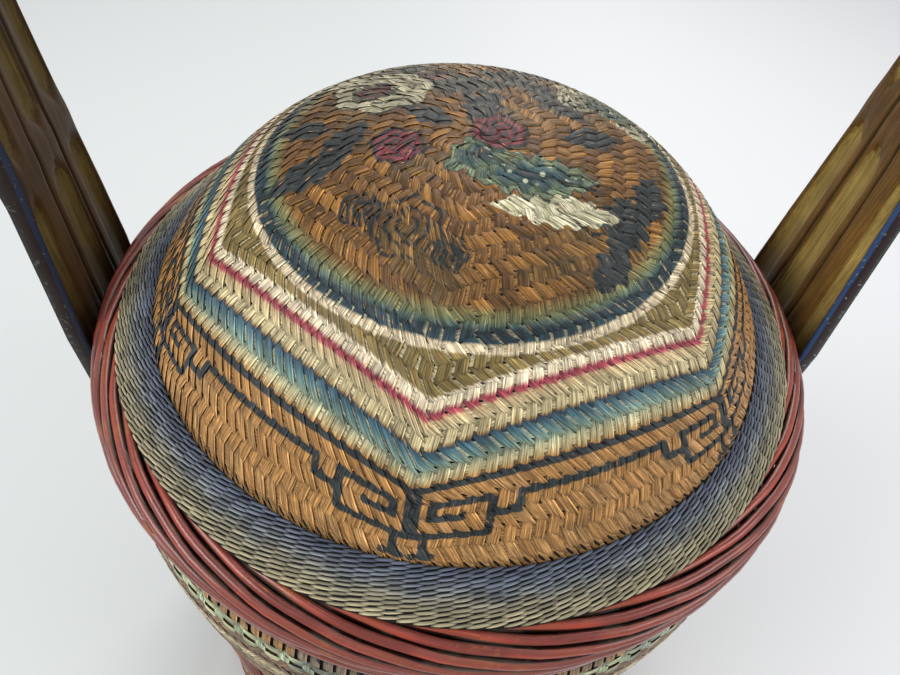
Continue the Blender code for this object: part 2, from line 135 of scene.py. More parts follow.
def new_shape(*facts):
    """An empty bmesh whose points carry these numbers, and how the fibre runs."""
    shape = bmesh.new()
    shape.verts.layers.float_vector.new("fibre")
    for fact in facts:
        shape.verts.layers.float.new(fact)
    return shape


def gather(total, part):
    """Add one row's splits to a piece."""
    mesh = bpy.data.meshes.new("row")
    part.to_mesh(mesh)
    part.free()
    total.from_mesh(mesh)
    bpy.data.meshes.remove(mesh)


def finish_piece(name, shape, material, body, replaces=()):
    """The object for a piece, in its material, on its body."""
    mesh = bpy.data.meshes.new(name)
    shape.to_mesh(mesh)
    shape.free()
    mesh.shade_smooth()
    mesh.materials.append(material)
    piece = bpy.data.objects.new(name, mesh)
    bpy.context.scene.collection.objects.link(piece)
    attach(piece, body)
    if replaces:
        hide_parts(*replaces)
    return piece


def lay_split(
    shape, surface, centre, along, across, lie, seed, facts=None, taper=0.0, pit=0.0, grid=(2, 4)
):
    """One split: a small grid laid on a surface, arched over, with its ends under its neighbours.

    centre, along and across are in the surface's own two directions. lie holds, in mm, how far
    the ends sink, how high the middle arches over them, how round the split is, how far one side
    rides over the next split, and how much its ends are cut on the slant. pit is the share of
    splits with a small dark hole at one corner, and grid the number of faces across and along.
    """
    fibre = shape.verts.layers.float_vector["fibre"]
    layers = [shape.verts.layers.float[name] for name in SPLIT_FACTS]
    sink, arch, crown, tilt, skew = (mm * MM for mm in lie)
    tone = seed.random()
    pitted = seed.random() < pit
    pit_end = 0.5 if skew > 0 else -0.5
    shift = Vector((seed.uniform(0, 90), seed.uniform(0, 90), seed.uniform(0, 90)))
    made = bmesh.ops.create_grid(shape, x_segments=grid[0], y_segments=grid[1], size=1)
    for vert in made["verts"]:
        x, y = vert.co.x, vert.co.y
        narrow = 1 - taper * y * y
        turn = centre[0] + along[0] * y + across[0] * x * narrow
        spread = centre[1] + along[1] * y + across[1] * x * narrow
        lift = arch * (1 - abs(y) ** 3) - sink - crown * x * x + tilt * x + skew * x * y
        hole = 1.0 if pitted and x > 0.5 and abs(y - pit_end) < 0.1 else 0.0
        for layer, value in zip(layers, (tone, x, y, hole)):
            vert[layer] = value
        vert[fibre] = shift + Vector((x * across[2], y * along[2], 0))
        vert.co = surface(turn, spread, lift)
        if facts:
            facts(vert, turn, spread)


# The dome

def down_dome_table(steps=500):
    """Length, radius and height down the dome's outer line, from the crown to its edge."""
    rows = [(0.0, 0.0, CROWN_HEIGHT)]
    fall = CROWN_HEIGHT - EDGE_HEIGHT
    for i in range(1, steps + 1):
        share = i / steps
        radius = DOME_RADIUS * share
        height = CROWN_HEIGHT - fall * (DOME_ROUND_SHARE * share ** 2 + (1 - DOME_ROUND_SHARE) * share ** 4)
        run, last_radius, last_height = rows[-1]
        rows.append((run + hypot(radius - last_radius, height - last_height), radius, height))
    return rows


DOME_TABLE = down_dome_table()
DOME_RUNS = [row[0] for row in DOME_TABLE]
BOW_RUNS = (0, 100 * MM, 128 * MM, 145 * MM, 160 * MM, 178 * MM, 191 * MM, 260 * MM)
BOW_SHARES = (0.95, 0.90, 0.88, 0.66, 0.42, 0.25, 0.10, 0.10)


def between(value, keys, results):
    """The value's result, straight between the two keys that it lies between."""
    i = min(max(bisect_right(keys, value), 1), len(keys) - 1)
    share = (value - keys[i - 1]) / (keys[i] - keys[i - 1])
    return results[i - 1] + (results[i] - results[i - 1]) * share


def down_dome(run):
    """Radius, height and outward direction this far down the dome."""
    if run >= DOME_RUNS[-1]:
        return DOME_RADIUS, EDGE_HEIGHT - (run - DOME_RUNS[-1]), 1.0, 0.0
    i = min(max(bisect_right(DOME_RUNS, max(run, 0)), 1), len(DOME_RUNS) - 1)
    first, second = DOME_TABLE[i - 1], DOME_TABLE[i]
    share = (run - first[0]) / (second[0] - first[0])
    step_out, step_up = second[1] - first[1], second[2] - first[2]
    size = hypot(step_out, step_up)
    return first[1] + step_out * share, first[2] + step_up * share, -step_up / size, step_out / size


def dome_run(turn, spread):
    """How far down the dome a row lies at this turn: rows are hexagons with bowed sides."""
    off = turn % SIXTH - SIXTH / 2
    return spread * (1 + between(spread, BOW_RUNS, BOW_SHARES) * (1 / cos(off) - 1))


def on_dome(turn, spread, lift):
    """A point of the dome: turn from the front corner, spread down the middle of a side."""
    radius, height, out, up = down_dome(dome_run(turn, spread))
    radius += lift * out
    angle = FRONT_CORNER + turn
    return Vector((radius * sin(angle), -radius * cos(angle), height + lift * up))


# Slanted rows lie here, down the middle of a side, with a row of upright splits between each two
SLANTED_ROWS = tuple(
    mm * MM for mm in (5, 17, 30, 43, 56, 69, 82, 94.7, 106.6, 118, 131.8, 148.5, 165.5, 181.7)
)
SLANTED_FILL, UPRIGHT_FILL = 0.92, 0.80  # of a row's pitch that its splits take up
SLANTED_HALF, UPRIGHT_HALF, UNDER_HALF = 0.40, 0.375, 0.45  # half widths, in steps along a row
UNDER_REACH, LAST_UNDER_REACH = 0.72, 1.28  # half lengths, in row pitches
UNDER_TONE = 1.15               # past any other split's, so that the paint can tell it
TUCK, LAST_TUCK = 0.12, 0.4     # how much a split narrows to its ends
DOME_GRID = (4, 6)
ROWS_END = 198 * MM             # where one more slanted row would lie
ROW_STRETCH = 1.02              # a bowed side's length, as a multiple of the arc's
LEAN_RUNS = (0, 90 * MM, 110 * MM, 150 * MM, 182 * MM)
LEANS = (radians(33), radians(33), radians(42), radians(37), radians(25))
UPRIGHT_LEAN = radians(-7)
DOME_FACTS = SPLIT_FACTS + ("band", "disc", "ink", "leaf", "teal", "cream", "bloom", "line")
# A place in the paint is partly its split's own, because the brush caught each split as a whole
SPLIT_SHARE = 0.12
FINE_SPLIT_SHARE = 0.1
# The fret's lines, in mm: from and to along a side, from the nearest corner, and down the dome;
# a line to 999 runs on to the side's other end
FRET_DEPTH_LIMIT = 3.0
FRET = (
    (-9, 999, 143.5, 147.2), (-9, 3.2, 146, 172), (5.6, 31.6, 153.2, 156.8), (38.4, 999, 153.2, 156.8),
    (5.6, 9.4, 154, 164), (27.8, 31.6, 154, 172), (38.4, 42, 154, 164), (5.6, 20.5, 160.6, 164.2),
    (28, 42, 160.6, 164.2), (-9, 31, 169.2, 172.8), (4, 7.6, 172, 184), (0.5, 11.6, 181, 184.8),
)


def fret_depth(side, run):
    """How deep inside the fret's lines a place lies, in mm; negative outside them."""
    depths = [min(side - start, end - side, run - upper, lower - run) for start, end, upper, lower in FRET]
    return min(max(max(depths), -FRET_DEPTH_LIMIT), FRET_DEPTH_LIMIT)


# The medallion's spray, in mm from its middle, as seen from the front
SLATE_LEAVES = (
    (-70, -26, 20, 9, 30), (-58, -8, 16, 8, 60), (-78, 4, 14, 7, -15), (-40, 66, 20, 9, 25),
    (-12, 44, 24, 12, 10), (14, 60, 22, 11, -20), (34, 38, 18, 10, -40), (0, 24, 16, 9, 70),
    (64, -34, 20, 10, 70), (76, -14, 16, 8, 80), (58, -58, 14, 7, 60), (50, 14, 16, 8, 30),
    (20, 80, 20, 8, 0), (-24, 12, 14, 7, -30),
)
TEAL_LEAVES = ((24, -22, 30, 13, 10), (0, -14, 18, 11, 40), (60, 52, 18, 11, -45))
CREAM_LEAVES = ((34, -38, 28, 9, 8), (46, 62, 14, 9, -30), (72, 40, 12, 8, -60), (-68, 54, 12, 7, 40))
PALE_BLOOMS = ((-48, 36, 24, 7), (44, 48, 11, 5))
BLOOMS = ((-34, -12, 12, 6), (8, 4, 13, 6), (-52, 34, 9, 5), (-24, 54, 8, 5))
DRAWN_BLOOMS = ((-24, -56, 14, 7), (-44, -48, 8, 5), (-6, -66, 7, 5))
STEMS = (
    ((-24, -42), (-14, -26), (0, -14)), ((0, -14), (26, -22), (54, -22)),
    ((0, -14), (-20, -12), (-34, -12)), ((-34, -12), (-56, -12), (-72, -24)),
    ((0, -14), (6, 10), (20, 30)), ((-24, 12), (-34, 24), (-44, 34)), ((34, -38), (50, -46), (64, -34)),
)
SPRAY_TURN = 0.131              # radians from the spray's foot to the basket's front
SPRAY_REACH = 105 * MM
FAR_OUTSIDE = -6.0              # the depth of a place that no motif is near, in mm
STEM_HALF_WIDTH = 0.8           # mm
PETAL_LINE_HALF_WIDTH = 0.9     # mm
PETAL_LINES = (1.0, 0.62, 0.3)  # in shares of a petal's reach


def leaf_depth(leaves, x, y):
    """How deep inside one of these pointed leaves a place lies, in mm."""
    best = FAR_OUTSIDE
    for middle_x, middle_y, reach, width, turn in leaves:
        angle = radians(turn)
        u = (x - middle_x) * cos(angle) + (y - middle_y) * sin(angle)
        v = (y - middle_y) * cos(angle) - (x - middle_x) * sin(angle)
        share = abs(u) / reach
        if share < 1.3:
            # Its edge waves in and out once in about 8 mm
            lobes = 1 + 0.22 * sin(u * 0.75 + middle_x)
            best = max(best, width * (1 - share ** 1.7) * lobes - abs(v))
    return best


def petal_edge(bloom, x, y):
    """Distance from a flower's middle, and its petals' reach in that direction, in mm."""
    middle_x, middle_y, radius, petals = bloom
    angle = atan2(y - middle_y, x - middle_x)
    reach = radius * (0.86 + 0.16 * abs(cos(petals * angle / 2 + middle_x)))
    return hypot(x - middle_x, y - middle_y), reach


def bloom_depth(blooms, x, y):
    """How deep inside one of these many-petalled flowers a place lies, in mm."""
    best = FAR_OUTSIDE
    for bloom in blooms:
        distance, reach = petal_edge(bloom, x, y)
        best = max(best, reach - distance)
    return best


def line_depth(x, y):
    """How deep inside the drawn stems and petal lines a place lies, in mm."""
    best = FAR_OUTSIDE
    here = Vector((x, y))
    for stem in STEMS:
        for start, end in zip(stem, stem[1:]):
            first, step = Vector(start), Vector(end) - Vector(start)
            share = min(max((here - first).dot(step) / step.length_squared, 0), 1)
            best = max(best, STEM_HALF_WIDTH - (here - first - step * share).length)
    for bloom in BLOOMS + PALE_BLOOMS + DRAWN_BLOOMS:
        distance, reach = petal_edge(bloom, x, y)
        for share in PETAL_LINES:
            best = max(best, PETAL_LINE_HALF_WIDTH - abs(distance - reach * share))
    return best


def dome_rows():
    """Middle, pitch, lean and share of the pitch that a split fills, for each row of the dome."""
    rows = []
    for middle, after in zip(SLANTED_ROWS, SLANTED_ROWS[1:] + (ROWS_END,)):
        pitch = (after - middle) / 2
        rows.append((middle, pitch, between(middle, LEAN_RUNS, LEANS), SLANTED_FILL))
        rows.append((middle + pitch, pitch, UPRIGHT_LEAN, UPRIGHT_FILL))
    return rows[:-1]


def plait_dome(sizes):
    """The dome's splits: slanted and upright rows in six sectors, over flatter ones that run under.

    The paint's places are carried by the splits' points.
    """
    seed = Random(7)
    total = new_shape(*DOME_FACTS)
    for middle, pitch, lean, fill in dome_rows():
        part = new_shape(*DOME_FACTS)
        layer = part.verts.layers.float
        fibre = part.verts.layers.float_vector["fibre"]
        radius = down_dome(dome_run(SIXTH / 4, middle))[0]
        count = max(1, round(radius * SIXTH * ROW_STRETCH / sizes.split))
        slanted = lean > 0
        last = middle == SLANTED_ROWS[-1]
        for place in range(12 * count):
            under = place % 2 == 1
            step = (place // 2 + (0.5 if under == slanted else 0)) / count
            centre_turn = step * SIXTH + seed.uniform(-0.05, 0.05) * sizes.split / max(radius, sizes.split)
            centre_radius = down_dome(dome_run(centre_turn, middle))[0]

            def facts(vert, turn, spread):
                radius_here = hypot(vert.co.x, vert.co.y)
                corner = turn % SIXTH
                to_corner = min(corner, SIXTH - corner) * radius_here / MM
                fine_spread = FINE_SPLIT_SHARE * middle + (1 - FINE_SPLIT_SHARE) * spread
                from_middle = FINE_SPLIT_SHARE * centre_radius + (1 - FINE_SPLIT_SHARE) * radius_here
                vert[layer["band"]] = (SPLIT_SHARE * middle + (1 - SPLIT_SHARE) * spread) / MM
                vert[layer["disc"]] = from_middle / MM
                vert[layer["ink"]] = fret_depth(to_corner, fine_spread / MM)
                depths = (FAR_OUTSIDE,) * 5
                if radius_here < SPRAY_REACH:
                    angle = FRONT_CORNER + turn + SPRAY_TURN
                    x, y = radius_here * sin(angle) / MM, -radius_here * cos(angle) / MM
                    depths = (
                        leaf_depth(SLATE_LEAVES, x, y), leaf_depth(TEAL_LEAVES, x, y),
                        max(leaf_depth(CREAM_LEAVES, x, y), bloom_depth(PALE_BLOOMS, x, y)),
                        bloom_depth(BLOOMS, x, y), line_depth(x, y),
                    )
                for name, depth in zip(("leaf", "teal", "cream", "bloom", "line"), depths):
                    vert[layer[name]] = depth
                if not under and not slanted:
                    vert[layer["tone"]] *= 0.5
                if under:
                    # It runs across the row, and shows a small hole where it meets a slanted split's end
                    across, along = vert[layer["across"]], vert[layer["along"]]
                    at_hole = slanted and abs(across) < 0.1 and 0.5 < abs(along) < 0.9
                    vert[fibre] = Vector((vert[fibre].y, across * 2.0, 0))
                    vert[layer["tone"]] = UNDER_TONE
                    vert[layer["hole"]] = 1.0 if at_hole else 0.0

            if under:
                reach = pitch * (LAST_UNDER_REACH if last else UNDER_REACH)
                leaning = tan(lean) * reach / radius
                half = UNDER_HALF * SIXTH / count
                lie = (0.68, 0.2, 0.1, 0.14, 0.0)
                taper = 0.0
            else:
                reach = pitch * fill * seed.uniform(0.97, 1.05)
                leaning = tan(lean + radians(seed.uniform(-3, 3))) * reach / radius
                half_share = SLANTED_HALF if slanted else UPRIGHT_HALF
                half = half_share * seed.uniform(0.97, 1.05) * SIXTH / count
                lie = (0.85, 1.12 * seed.uniform(0.94, 1.08), 0.2, 0.1, 0.36)
                taper = LAST_TUCK if last else TUCK
            lay_split(
                part, on_dome, (centre_turn, middle), (leaning, reach, reach / MM),
                (half, 0, 0.45 * sizes.split / MM), lie, seed, facts, taper, grid=DOME_GRID,
            )
        gather(total, part)
    return total


def turn_profile(shape, points, steps=96):
    """Spin a profile of (radius, height) points once about the basket's axis."""
    verts = [bmesh.ops.create_vert(shape, co=(radius, 0, height))["vert"][0] for radius, height in points]
    edges = [shape.edges.new(pair) for pair in zip(verts, verts[1:])]
    bmesh.ops.spin(
        shape, geom=verts + edges, cent=(0, 0, 0), axis=(0, 0, 1), angle=2 * pi, steps=steps, use_merge=True
    )
    bmesh.ops.remove_doubles(shape, verts=shape.verts, dist=0.01 * MM)
    bmesh.ops.recalc_face_normals(shape, faces=shape.faces)


def line_dome(sizes):
    """The dome's lining: its outer side is painted near black as the shade between the splits, and it is bare
    from inside.
    """
    shape = bmesh.new()
    outer = [down_dome(DOME_RUNS[-1] * i / 40) for i in range(41)]
    depth = sizes.lining_depth

    def below(depth):
        return [(radius - out * depth, height - up * depth) for radius, height, out, up in outer]

    front, back = below(depth), below(2 * depth)
    foot = [(DOME_RADIUS - depth, DOME_FOOT), (DOME_RADIUS - 2 * depth, DOME_FOOT)]
    points = [(0, front[0][1])] + front[1:] + foot + back[:0:-1] + [(0, back[0][1])]
    turn_profile(shape, points)
    return shape


# The twined band

BAND_FACTS = SPLIT_FACTS + ("band",)
BAND_STAKES_SINK, BAND_UNDERSIDE_SINK = 1.0 * MM, 2.2 * MM
BAND_OUT, BAND_UP = 0.45, 0.9   # the direction that its face looks in


def band_line(sink):
    """The band's upper line, from the dome's edge to the crown of the rim rope, sunk this deep."""
    outer_height = band_low.z + 1.6 * MM
    points = (
        (DOME_RADIUS - 0.4 * MM, EDGE_HEIGHT + 0.2 * MM),
        ((DOME_RADIUS + band_high.x) / 2, (EDGE_HEIGHT + outer_height) / 2 + 0.9 * MM),
        (band_high.x + 0.6 * MM, outer_height - 0.3 * MM),
    )
    return [(radius, height - sink) for radius, height in points]


def twine_band(sizes):
    """Rows of thin strands, each slanting from one stake to the next, with dark slits between."""
    seed = Random(11)
    line = band_line(0)
    runs = [0.0]
    for (radius, height), (next_radius, next_height) in zip(line, line[1:]):
        runs.append(runs[-1] + hypot(next_radius - radius, next_height - height))

    def on_band(turn, spread, lift):
        radius = between(spread, runs, [point[0] for point in line])
        height = between(spread, runs, [point[1] for point in line])
        radius += BAND_OUT * lift
        return Vector((radius * sin(turn), -radius * cos(turn), height + BAND_UP * lift))

    total = new_shape(*BAND_FACTS)
    rows = round(runs[-1] / sizes.twine_pitch)
    pitch = runs[-1] / rows
    stakes = round(2 * pi * (DOME_RADIUS + band_high.x) / 2 / sizes.stake_spacing)
    for row in range(rows):
        part = new_shape(*BAND_FACTS)
        band = part.verts.layers.float["band"]
        middle = (row + 0.5) * pitch
        for stake in range(stakes):
            turn = 2 * pi * (stake + 0.05 * sin(row * 1.3) + seed.uniform(-0.05, 0.05)) / stakes
            reach = 2 * pi / stakes * seed.uniform(0.64, 0.72)
            rise = -pitch * seed.uniform(0.4, 0.52)
            width = pitch * seed.uniform(0.27, 0.37)

            def facts(vert, turn, spread):
                vert[band] = spread / MM

            lay_split(
                part, on_band, (turn, middle + seed.uniform(-0.12, 0.12) * MM),
                (reach, rise, sizes.stake_spacing * 0.5 / MM), (0, width, width / MM),
                (0.7, seed.uniform(0.9, 1.2), 0.3, 0.1, 0.1), seed, facts, taper=0.25, grid=(3, 6),
            )
        gather(total, part)
    return total


def line_band():
    """The band's stakes and inner strands, painted near black as the shade between the rows."""
    shape = bmesh.new()
    points = band_line(BAND_STAKES_SINK) + band_line(BAND_UNDERSIDE_SINK)[::-1]
    points.append(points[0])
    turn_profile(shape, points)
    return shape


# The rims

ROPE_FACTS = ("tone", "flank", "groove")
# Each rope, its body, its rods, and how many rods' places it is turned by once round the basket
ROPES = (
    ("lid_rim_rope", "lid", 14, 31), ("upper_rim_rope", "upper_tier", 12, 25),
    ("lower_rim_rope", "base", 14, 31), ("lower_foot_rope", "base", 14, 31),
)
ROD_FILL = 0.95                 # of the room that a rod has between its neighbours
ROD_SWAY = 0.05                 # radians that a rod wanders round the core
ROD_UNEVENNESS = 0.25 * MM
ROD_SINK = 0.2 * MM             # keeps the uneven rods inside the frame's rope


def lay_rope(node, rods, lay_rods, number, steps=150, sides=8):
    """Cane rods laid round a core in one long twist that closes on itself at the back."""
    low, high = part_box(node)
    rope_radius = (high.z - low.z) / 2
    centre_radius = high.x - rope_radius
    centre_height = (low.z + high.z) / 2
    rod = ROD_FILL * rope_radius * sin(pi / rods) / (1 + sin(pi / rods))
    shape = new_shape(*ROPE_FACTS)
    layer = shape.verts.layers.float
    fibre = shape.verts.layers.float_vector["fibre"]
    for index in range(rods):
        grid = bmesh.ops.create_grid(shape, x_segments=sides, y_segments=steps, size=1)["verts"]
        for vert in grid:
            round_rod = (vert.co.x + 1) * pi
            trip = (vert.co.y + 1) / 2
            ahead = 2 * pi * trip + pi
            turn = 2 * pi * (index - lay_rods * trip) / rods
            place = Vector((4 * cos(turn), 4 * sin(turn), number + 2 * cos(ahead)))
            turn += ROD_SWAY * noise.noise(place)
            seat = rope_radius - rod + ROD_UNEVENNESS * noise.noise(place * 1.7) - ROD_SINK
            local = turn + round_rod
            out = seat * cos(turn) + rod * cos(local)
            up = seat * sin(turn) + rod * sin(local)
            radius = centre_radius + out
            vert[layer["tone"]] = noise.noise(place * 0.8 + Vector((7, 3, 5))) * 0.8 + 0.5
            vert[layer["flank"]] = sin(round_rod)
            vert[layer["groove"]] = (1 - cos(round_rod)) / 2
            vert[fibre] = Vector((round_rod * rod / MM, ahead * centre_radius / MM, index * 13.0))
            vert.co = (radius * sin(ahead), -radius * cos(ahead), centre_height + up)
    bmesh.ops.remove_doubles(shape, verts=shape.verts, dist=0.05 * MM)
    bmesh.ops.recalc_face_normals(shape, faces=shape.faces)
    return shape


# The tiers

# Each tier, its body, its wall's setbacks at the shoulder and foot with the belly's share of the
# way down, and the number that its chance starts from
TIERS = (
    ("upper", "upper_tier", (5.0 * MM, 11.0 * MM, 0.21), 3),
    ("lower", "base", (5.5 * MM, 12.5 * MM, 0.24), 4),
)
WALL_FACTS = SPLIT_FACTS + ("band", "kind")
HERRINGBONE_TOP, HERRINGBONE_PITCH = 17.0, 7.5  # mm down a wall, and a row's height in mm
WALL_ROW_ENDS = (0, 8.5) + tuple(HERRINGBONE_TOP + HERRINGBONE_PITCH * i for i in range(23))
CHECKERED_ROWS = (1, 19)
WALL_LEAN = radians(34)
COUNT_DROP = 40 * MM            # how far down a wall its splits are counted
UPRIGHT_REACH, LEANING_REACH = 0.62, 0.98  # half lengths, in row heights
TOP_ROW_HALF, UPRIGHT_ROW_HALF, LEANING_HALF = 0.38, 0.5, 0.53  # half widths, in steps along a row
WALL_SINK, CHECK_SINK = 0.95, 1.6  # mm that split ends sink, and every other one's in a checkered row
WALL_SPLIT_SINK = 0.8 * MM      # keeps the splits' tops inside the frame's wall
LINING_FRONT, LINING_BACK = 1.9 * MM, 3.0 * MM  # depths of the inner layer's two faces
STRIP_HALF_WIDTH = 2.0          # mm, of the strips along a checkered row
STRIP_HALF_LENGTH = 6.1         # mm
STRIP_REACH = 0.95              # half of its length, in steps along the row
STRIP_PLACES = (0.06, 0.94)     # in shares of the row's height


def wall_line(node, shoulder_setback, foot_setback, belly_share):
    """A tier's outer line as a function of how far down its wall a place lies."""
    low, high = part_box(node)
    belly = high.x
    rim = belly - 0.5 * MM
    shoulder, foot = rim - shoulder_setback, rim - foot_setback
    drop_all = high.z - low.z

    def line(drop):
        share = min(max(drop / drop_all, 0), 1)
        if share < belly_share:
            fall = (belly_share - share) / belly_share
            return belly - (belly - shoulder) * fall ** 2
        fall = (share - belly_share) / (1 - belly_share)
        return belly - (belly - foot) * fall ** 1.5

    return line, high.z, drop_all


def plait_wall(node, setbacks, sizes, seed_number):
    """A tier's wall: an upright row, a green checkered row, and herringbone rows below."""
    seed = Random(seed_number)
    line, top, drop_all = wall_line(node, *setbacks)

    def on_wall(turn, spread, lift):
        radius = line(spread) - WALL_SPLIT_SINK + lift
        return Vector((radius * sin(turn), -radius * cos(turn), top - spread))

    total = new_shape(*WALL_FACTS)
    count = round(2 * pi * line(COUNT_DROP) / sizes.wall_split)
    count += count % 2
    ends = [end * MM for end in WALL_ROW_ENDS if end * MM < drop_all - 3 * MM]
    ends.append(drop_all)
    for row, (upper, lower) in enumerate(zip(ends, ends[1:])):
        part = new_shape(*WALL_FACTS)
        layer = part.verts.layers.float
        middle, pitch = (upper + lower) / 2, lower - upper
        radius = line(middle)
        checkered = row in CHECKERED_ROWS
        upright = checkered or row in (0, len(ends) - 2)
        side = 1 if row % 2 else -1
        lean = 0 if upright else tan(WALL_LEAN) * side
        for place in range(count):
            turn = 2 * pi * (place + (0.5 if row % 2 else 0)) / count
            kind = place % 2 if checkered else 0.0
            reach = (UPRIGHT_REACH if upright else LEANING_REACH) * pitch * seed.uniform(0.97, 1.05)
            half_share = TOP_ROW_HALF if row == 0 else UPRIGHT_ROW_HALF if upright else LEANING_HALF
            half = half_share * 2 * pi / count
            sink = CHECK_SINK if kind else WALL_SINK

            def facts(vert, turn, spread):
                vert[layer["band"]] = (0.7 * middle + 0.3 * spread) / MM
                vert[layer["kind"]] = kind

            lay_split(
                part, on_wall, (turn, middle), (lean * reach / radius, reach, reach / MM),
                (half, 0, sizes.wall_split * 0.5 / MM),
                (sink, 1.3 * seed.uniform(0.9, 1.1), 0.3, 0.18, 0 if upright else -0.45 * side),
                seed, facts, pit=0.5,
            )
        if checkered:
            for strip_share in STRIP_PLACES:
                for place in range(count // 2):
                    turn = 2 * pi * (2 * place + 1.5) / count

                    def facts(vert, turn, spread):
                        vert[layer["band"]] = middle / MM
                        vert[layer["kind"]] = 2.0

                    lay_split(
                        part, on_wall, (turn, upper + pitch * strip_share),
                        (STRIP_REACH * 2 * pi / count, 0, STRIP_HALF_LENGTH),
                        (0, STRIP_HALF_WIDTH * MM, STRIP_HALF_WIDTH),
                        (0.4, 0.95, 0.2, 0.0, 0.0), seed, facts,
                    )
        gather(total, part)
    return total


def line_wall(node, setbacks):
    """The wall's inner layer, with the bare plait that shows from inside."""
    shape = bmesh.new()
    line, top, drop_all = wall_line(node, *setbacks)
    drops = [drop_all * i / 24 for i in range(25)]
    points = [(line(drop) - LINING_FRONT, top - drop) for drop in drops]
    points += [(line(drop) - LINING_BACK, top - drop) for drop in drops[::-1]]
    points.append(points[0])
    turn_profile(shape, points)
    return shape


FLOOR_PITCH = 9.0 * MM
FLOOR_EDGE = 1.0 * MM           # left free inside the wall
FLOOR_CORE_DEPTH = 0.9 * MM     # of the inner layer, below both faces
FLOOR_SPLIT_RISE = 0.75 * MM    # from the floor's middle to where the splits lie
FLOOR_REACH, FLOOR_HALF = 0.9, 0.47  # half lengths and half widths, in pitches


def plait_floor(node, seed_number):
    """A floor of flat splits plaited over two and under two, seen from above and below."""
    seed = Random(seed_number)
    low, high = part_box(node)
    radius = high.x - FLOOR_EDGE
    middle_height = (low.z + high.z) / 2
    total = new_shape(*SPLIT_FACTS)
    pitch = FLOOR_PITCH
    lines = int(2 * radius / pitch)
    for side in (1, -1):
        def on_floor(x, y, lift):
            return Vector((x, y, middle_height + side * (FLOOR_SPLIT_RISE + lift)))

        for row in range(lines):
            part = new_shape(*SPLIT_FACTS)
            y = (row - (lines - 1) / 2) * pitch
            for place in range(lines):
                x = (place - (lines - 1) / 2) * pitch
                if hypot(x, y) > radius - FLOOR_REACH * pitch:
                    continue
                if (place + row) % 4 in (0, 1):
                    along, across = (FLOOR_REACH * pitch, 0, 8.0), (0, FLOOR_HALF * pitch, 4.2)
                else:
                    along, across = (0, FLOOR_REACH * pitch, 8.0), (FLOOR_HALF * pitch, 0, 4.2)
                lay_split(part, on_floor, (x, y), along, across, (0.5, 0.8, 0.15, 0, 0), seed)
            gather(total, part)
    top, bottom = high.z - FLOOR_CORE_DEPTH, low.z + FLOOR_CORE_DEPTH
    disc = bmesh.new()
    turn_profile(disc, [(0, top), (high.x, top), (high.x, bottom), (0, bottom)])
    gather(total, disc)
    return total


# The handle

SLAT_FACTS = ("across", "hollow", "outward", "knot", "painted")
SLAT_WIDTH = 16.4 * MM          # over the arch
SLAT_PITCH = 17.0 * MM
FOOT_WIDTH_SHARE = 1.58         # of that width, from the lid's rim down
FAN_RISE = 142.5 * MM           # above the lid's rim, over which the slats narrow
SLAT_THICKNESS = 12 * MM
CORNER_RADIUS = 90 * MM
CORNER_ANGLE = radians(75)
ARCH_CLEARANCE = 140 * MM
KNOT_SPACING = 262 * MM
KNOT_RISES = {-1: 89.5 * MM, 1: 120 * MM}  # above the rim, left and right
KNOT_HALF_LENGTH = 14 * MM
KNOT_SWELL = 1.2 * MM
KNOT_SHADE_REACH = 18 * MM
KNOT_POINT = 26 * MM            # how much further a hollow ends beside its middle, for a pointed end
KNOT_CLEAR = (9 * MM, 14 * MM)  # from a knot to where a hollow starts and is at its depth
FACE_UNEVENNESS = 0.5 * MM
PAINTED_EDGE = -0.46            # in shares of a slat's width, from its middle
SLAT_STEPS = 420
INNER_FACE = (-0.5, -0.44, -0.38, -0.31, -0.25, -0.16, -0.08, 0, 0.08, 0.16, 0.25, 0.31, 0.38, 0.44, 0.5)
OUTER_FACE = (
    (0.50, 0.80), (0.42, 0.92), (0.22, 0.985), (0, 1), (-0.22, 0.985), (-0.42, 0.92), (-0.50, 0.80),
)
# Where each slat's hollow starts and ends, in shares of its width from its middle, front edge first
HOLLOWS = {-1: (-0.40, -0.04), 0: (-0.24, 0.42), 1: (-0.20, 0.40)}


def arch_line():
    """The slats' inner line over the crown: a place and its outward direction for each length."""
    reach = slat_high.x - SLAT_THICKNESS - KNOT_SWELL
    shoulder = reach - CORNER_RADIUS
    big_radius = CORNER_RADIUS + shoulder / cos(CORNER_ANGLE)
    rise = big_radius - (big_radius - CORNER_RADIUS) * sin(CORNER_ANGLE)
    spring = CROWN_HEIGHT + ARCH_CLEARANCE - rise
    corner_end = spring + CORNER_RADIUS * CORNER_ANGLE
    half_length = corner_end + big_radius * (pi / 2 - CORNER_ANGLE)

    def place(run):
        side = 1
        if run > half_length:
            side, run = -1, 2 * half_length - run
        if run <= spring:
            return side * reach, run, side, 0.0, run
        if run <= corner_end:
            angle = (run - spring) / CORNER_RADIUS
            middle_x, middle_z, radius = shoulder, spring, CORNER_RADIUS
        else:
            angle = CORNER_ANGLE + (run - corner_end) / big_radius
            middle_x, middle_z, radius = 0.0, spring + rise - big_radius, big_radius
        x, z = middle_x + radius * cos(angle), middle_z + radius * sin(angle)
        return side * x, z, side * cos(angle), sin(angle), run

    return place, half_length


def ease(value, start, end):
    """0 before start, 1 past end, smooth between."""
    share = min(max((value - start) / (end - start), 0), 1)
    return share * share * (3 - 2 * share)


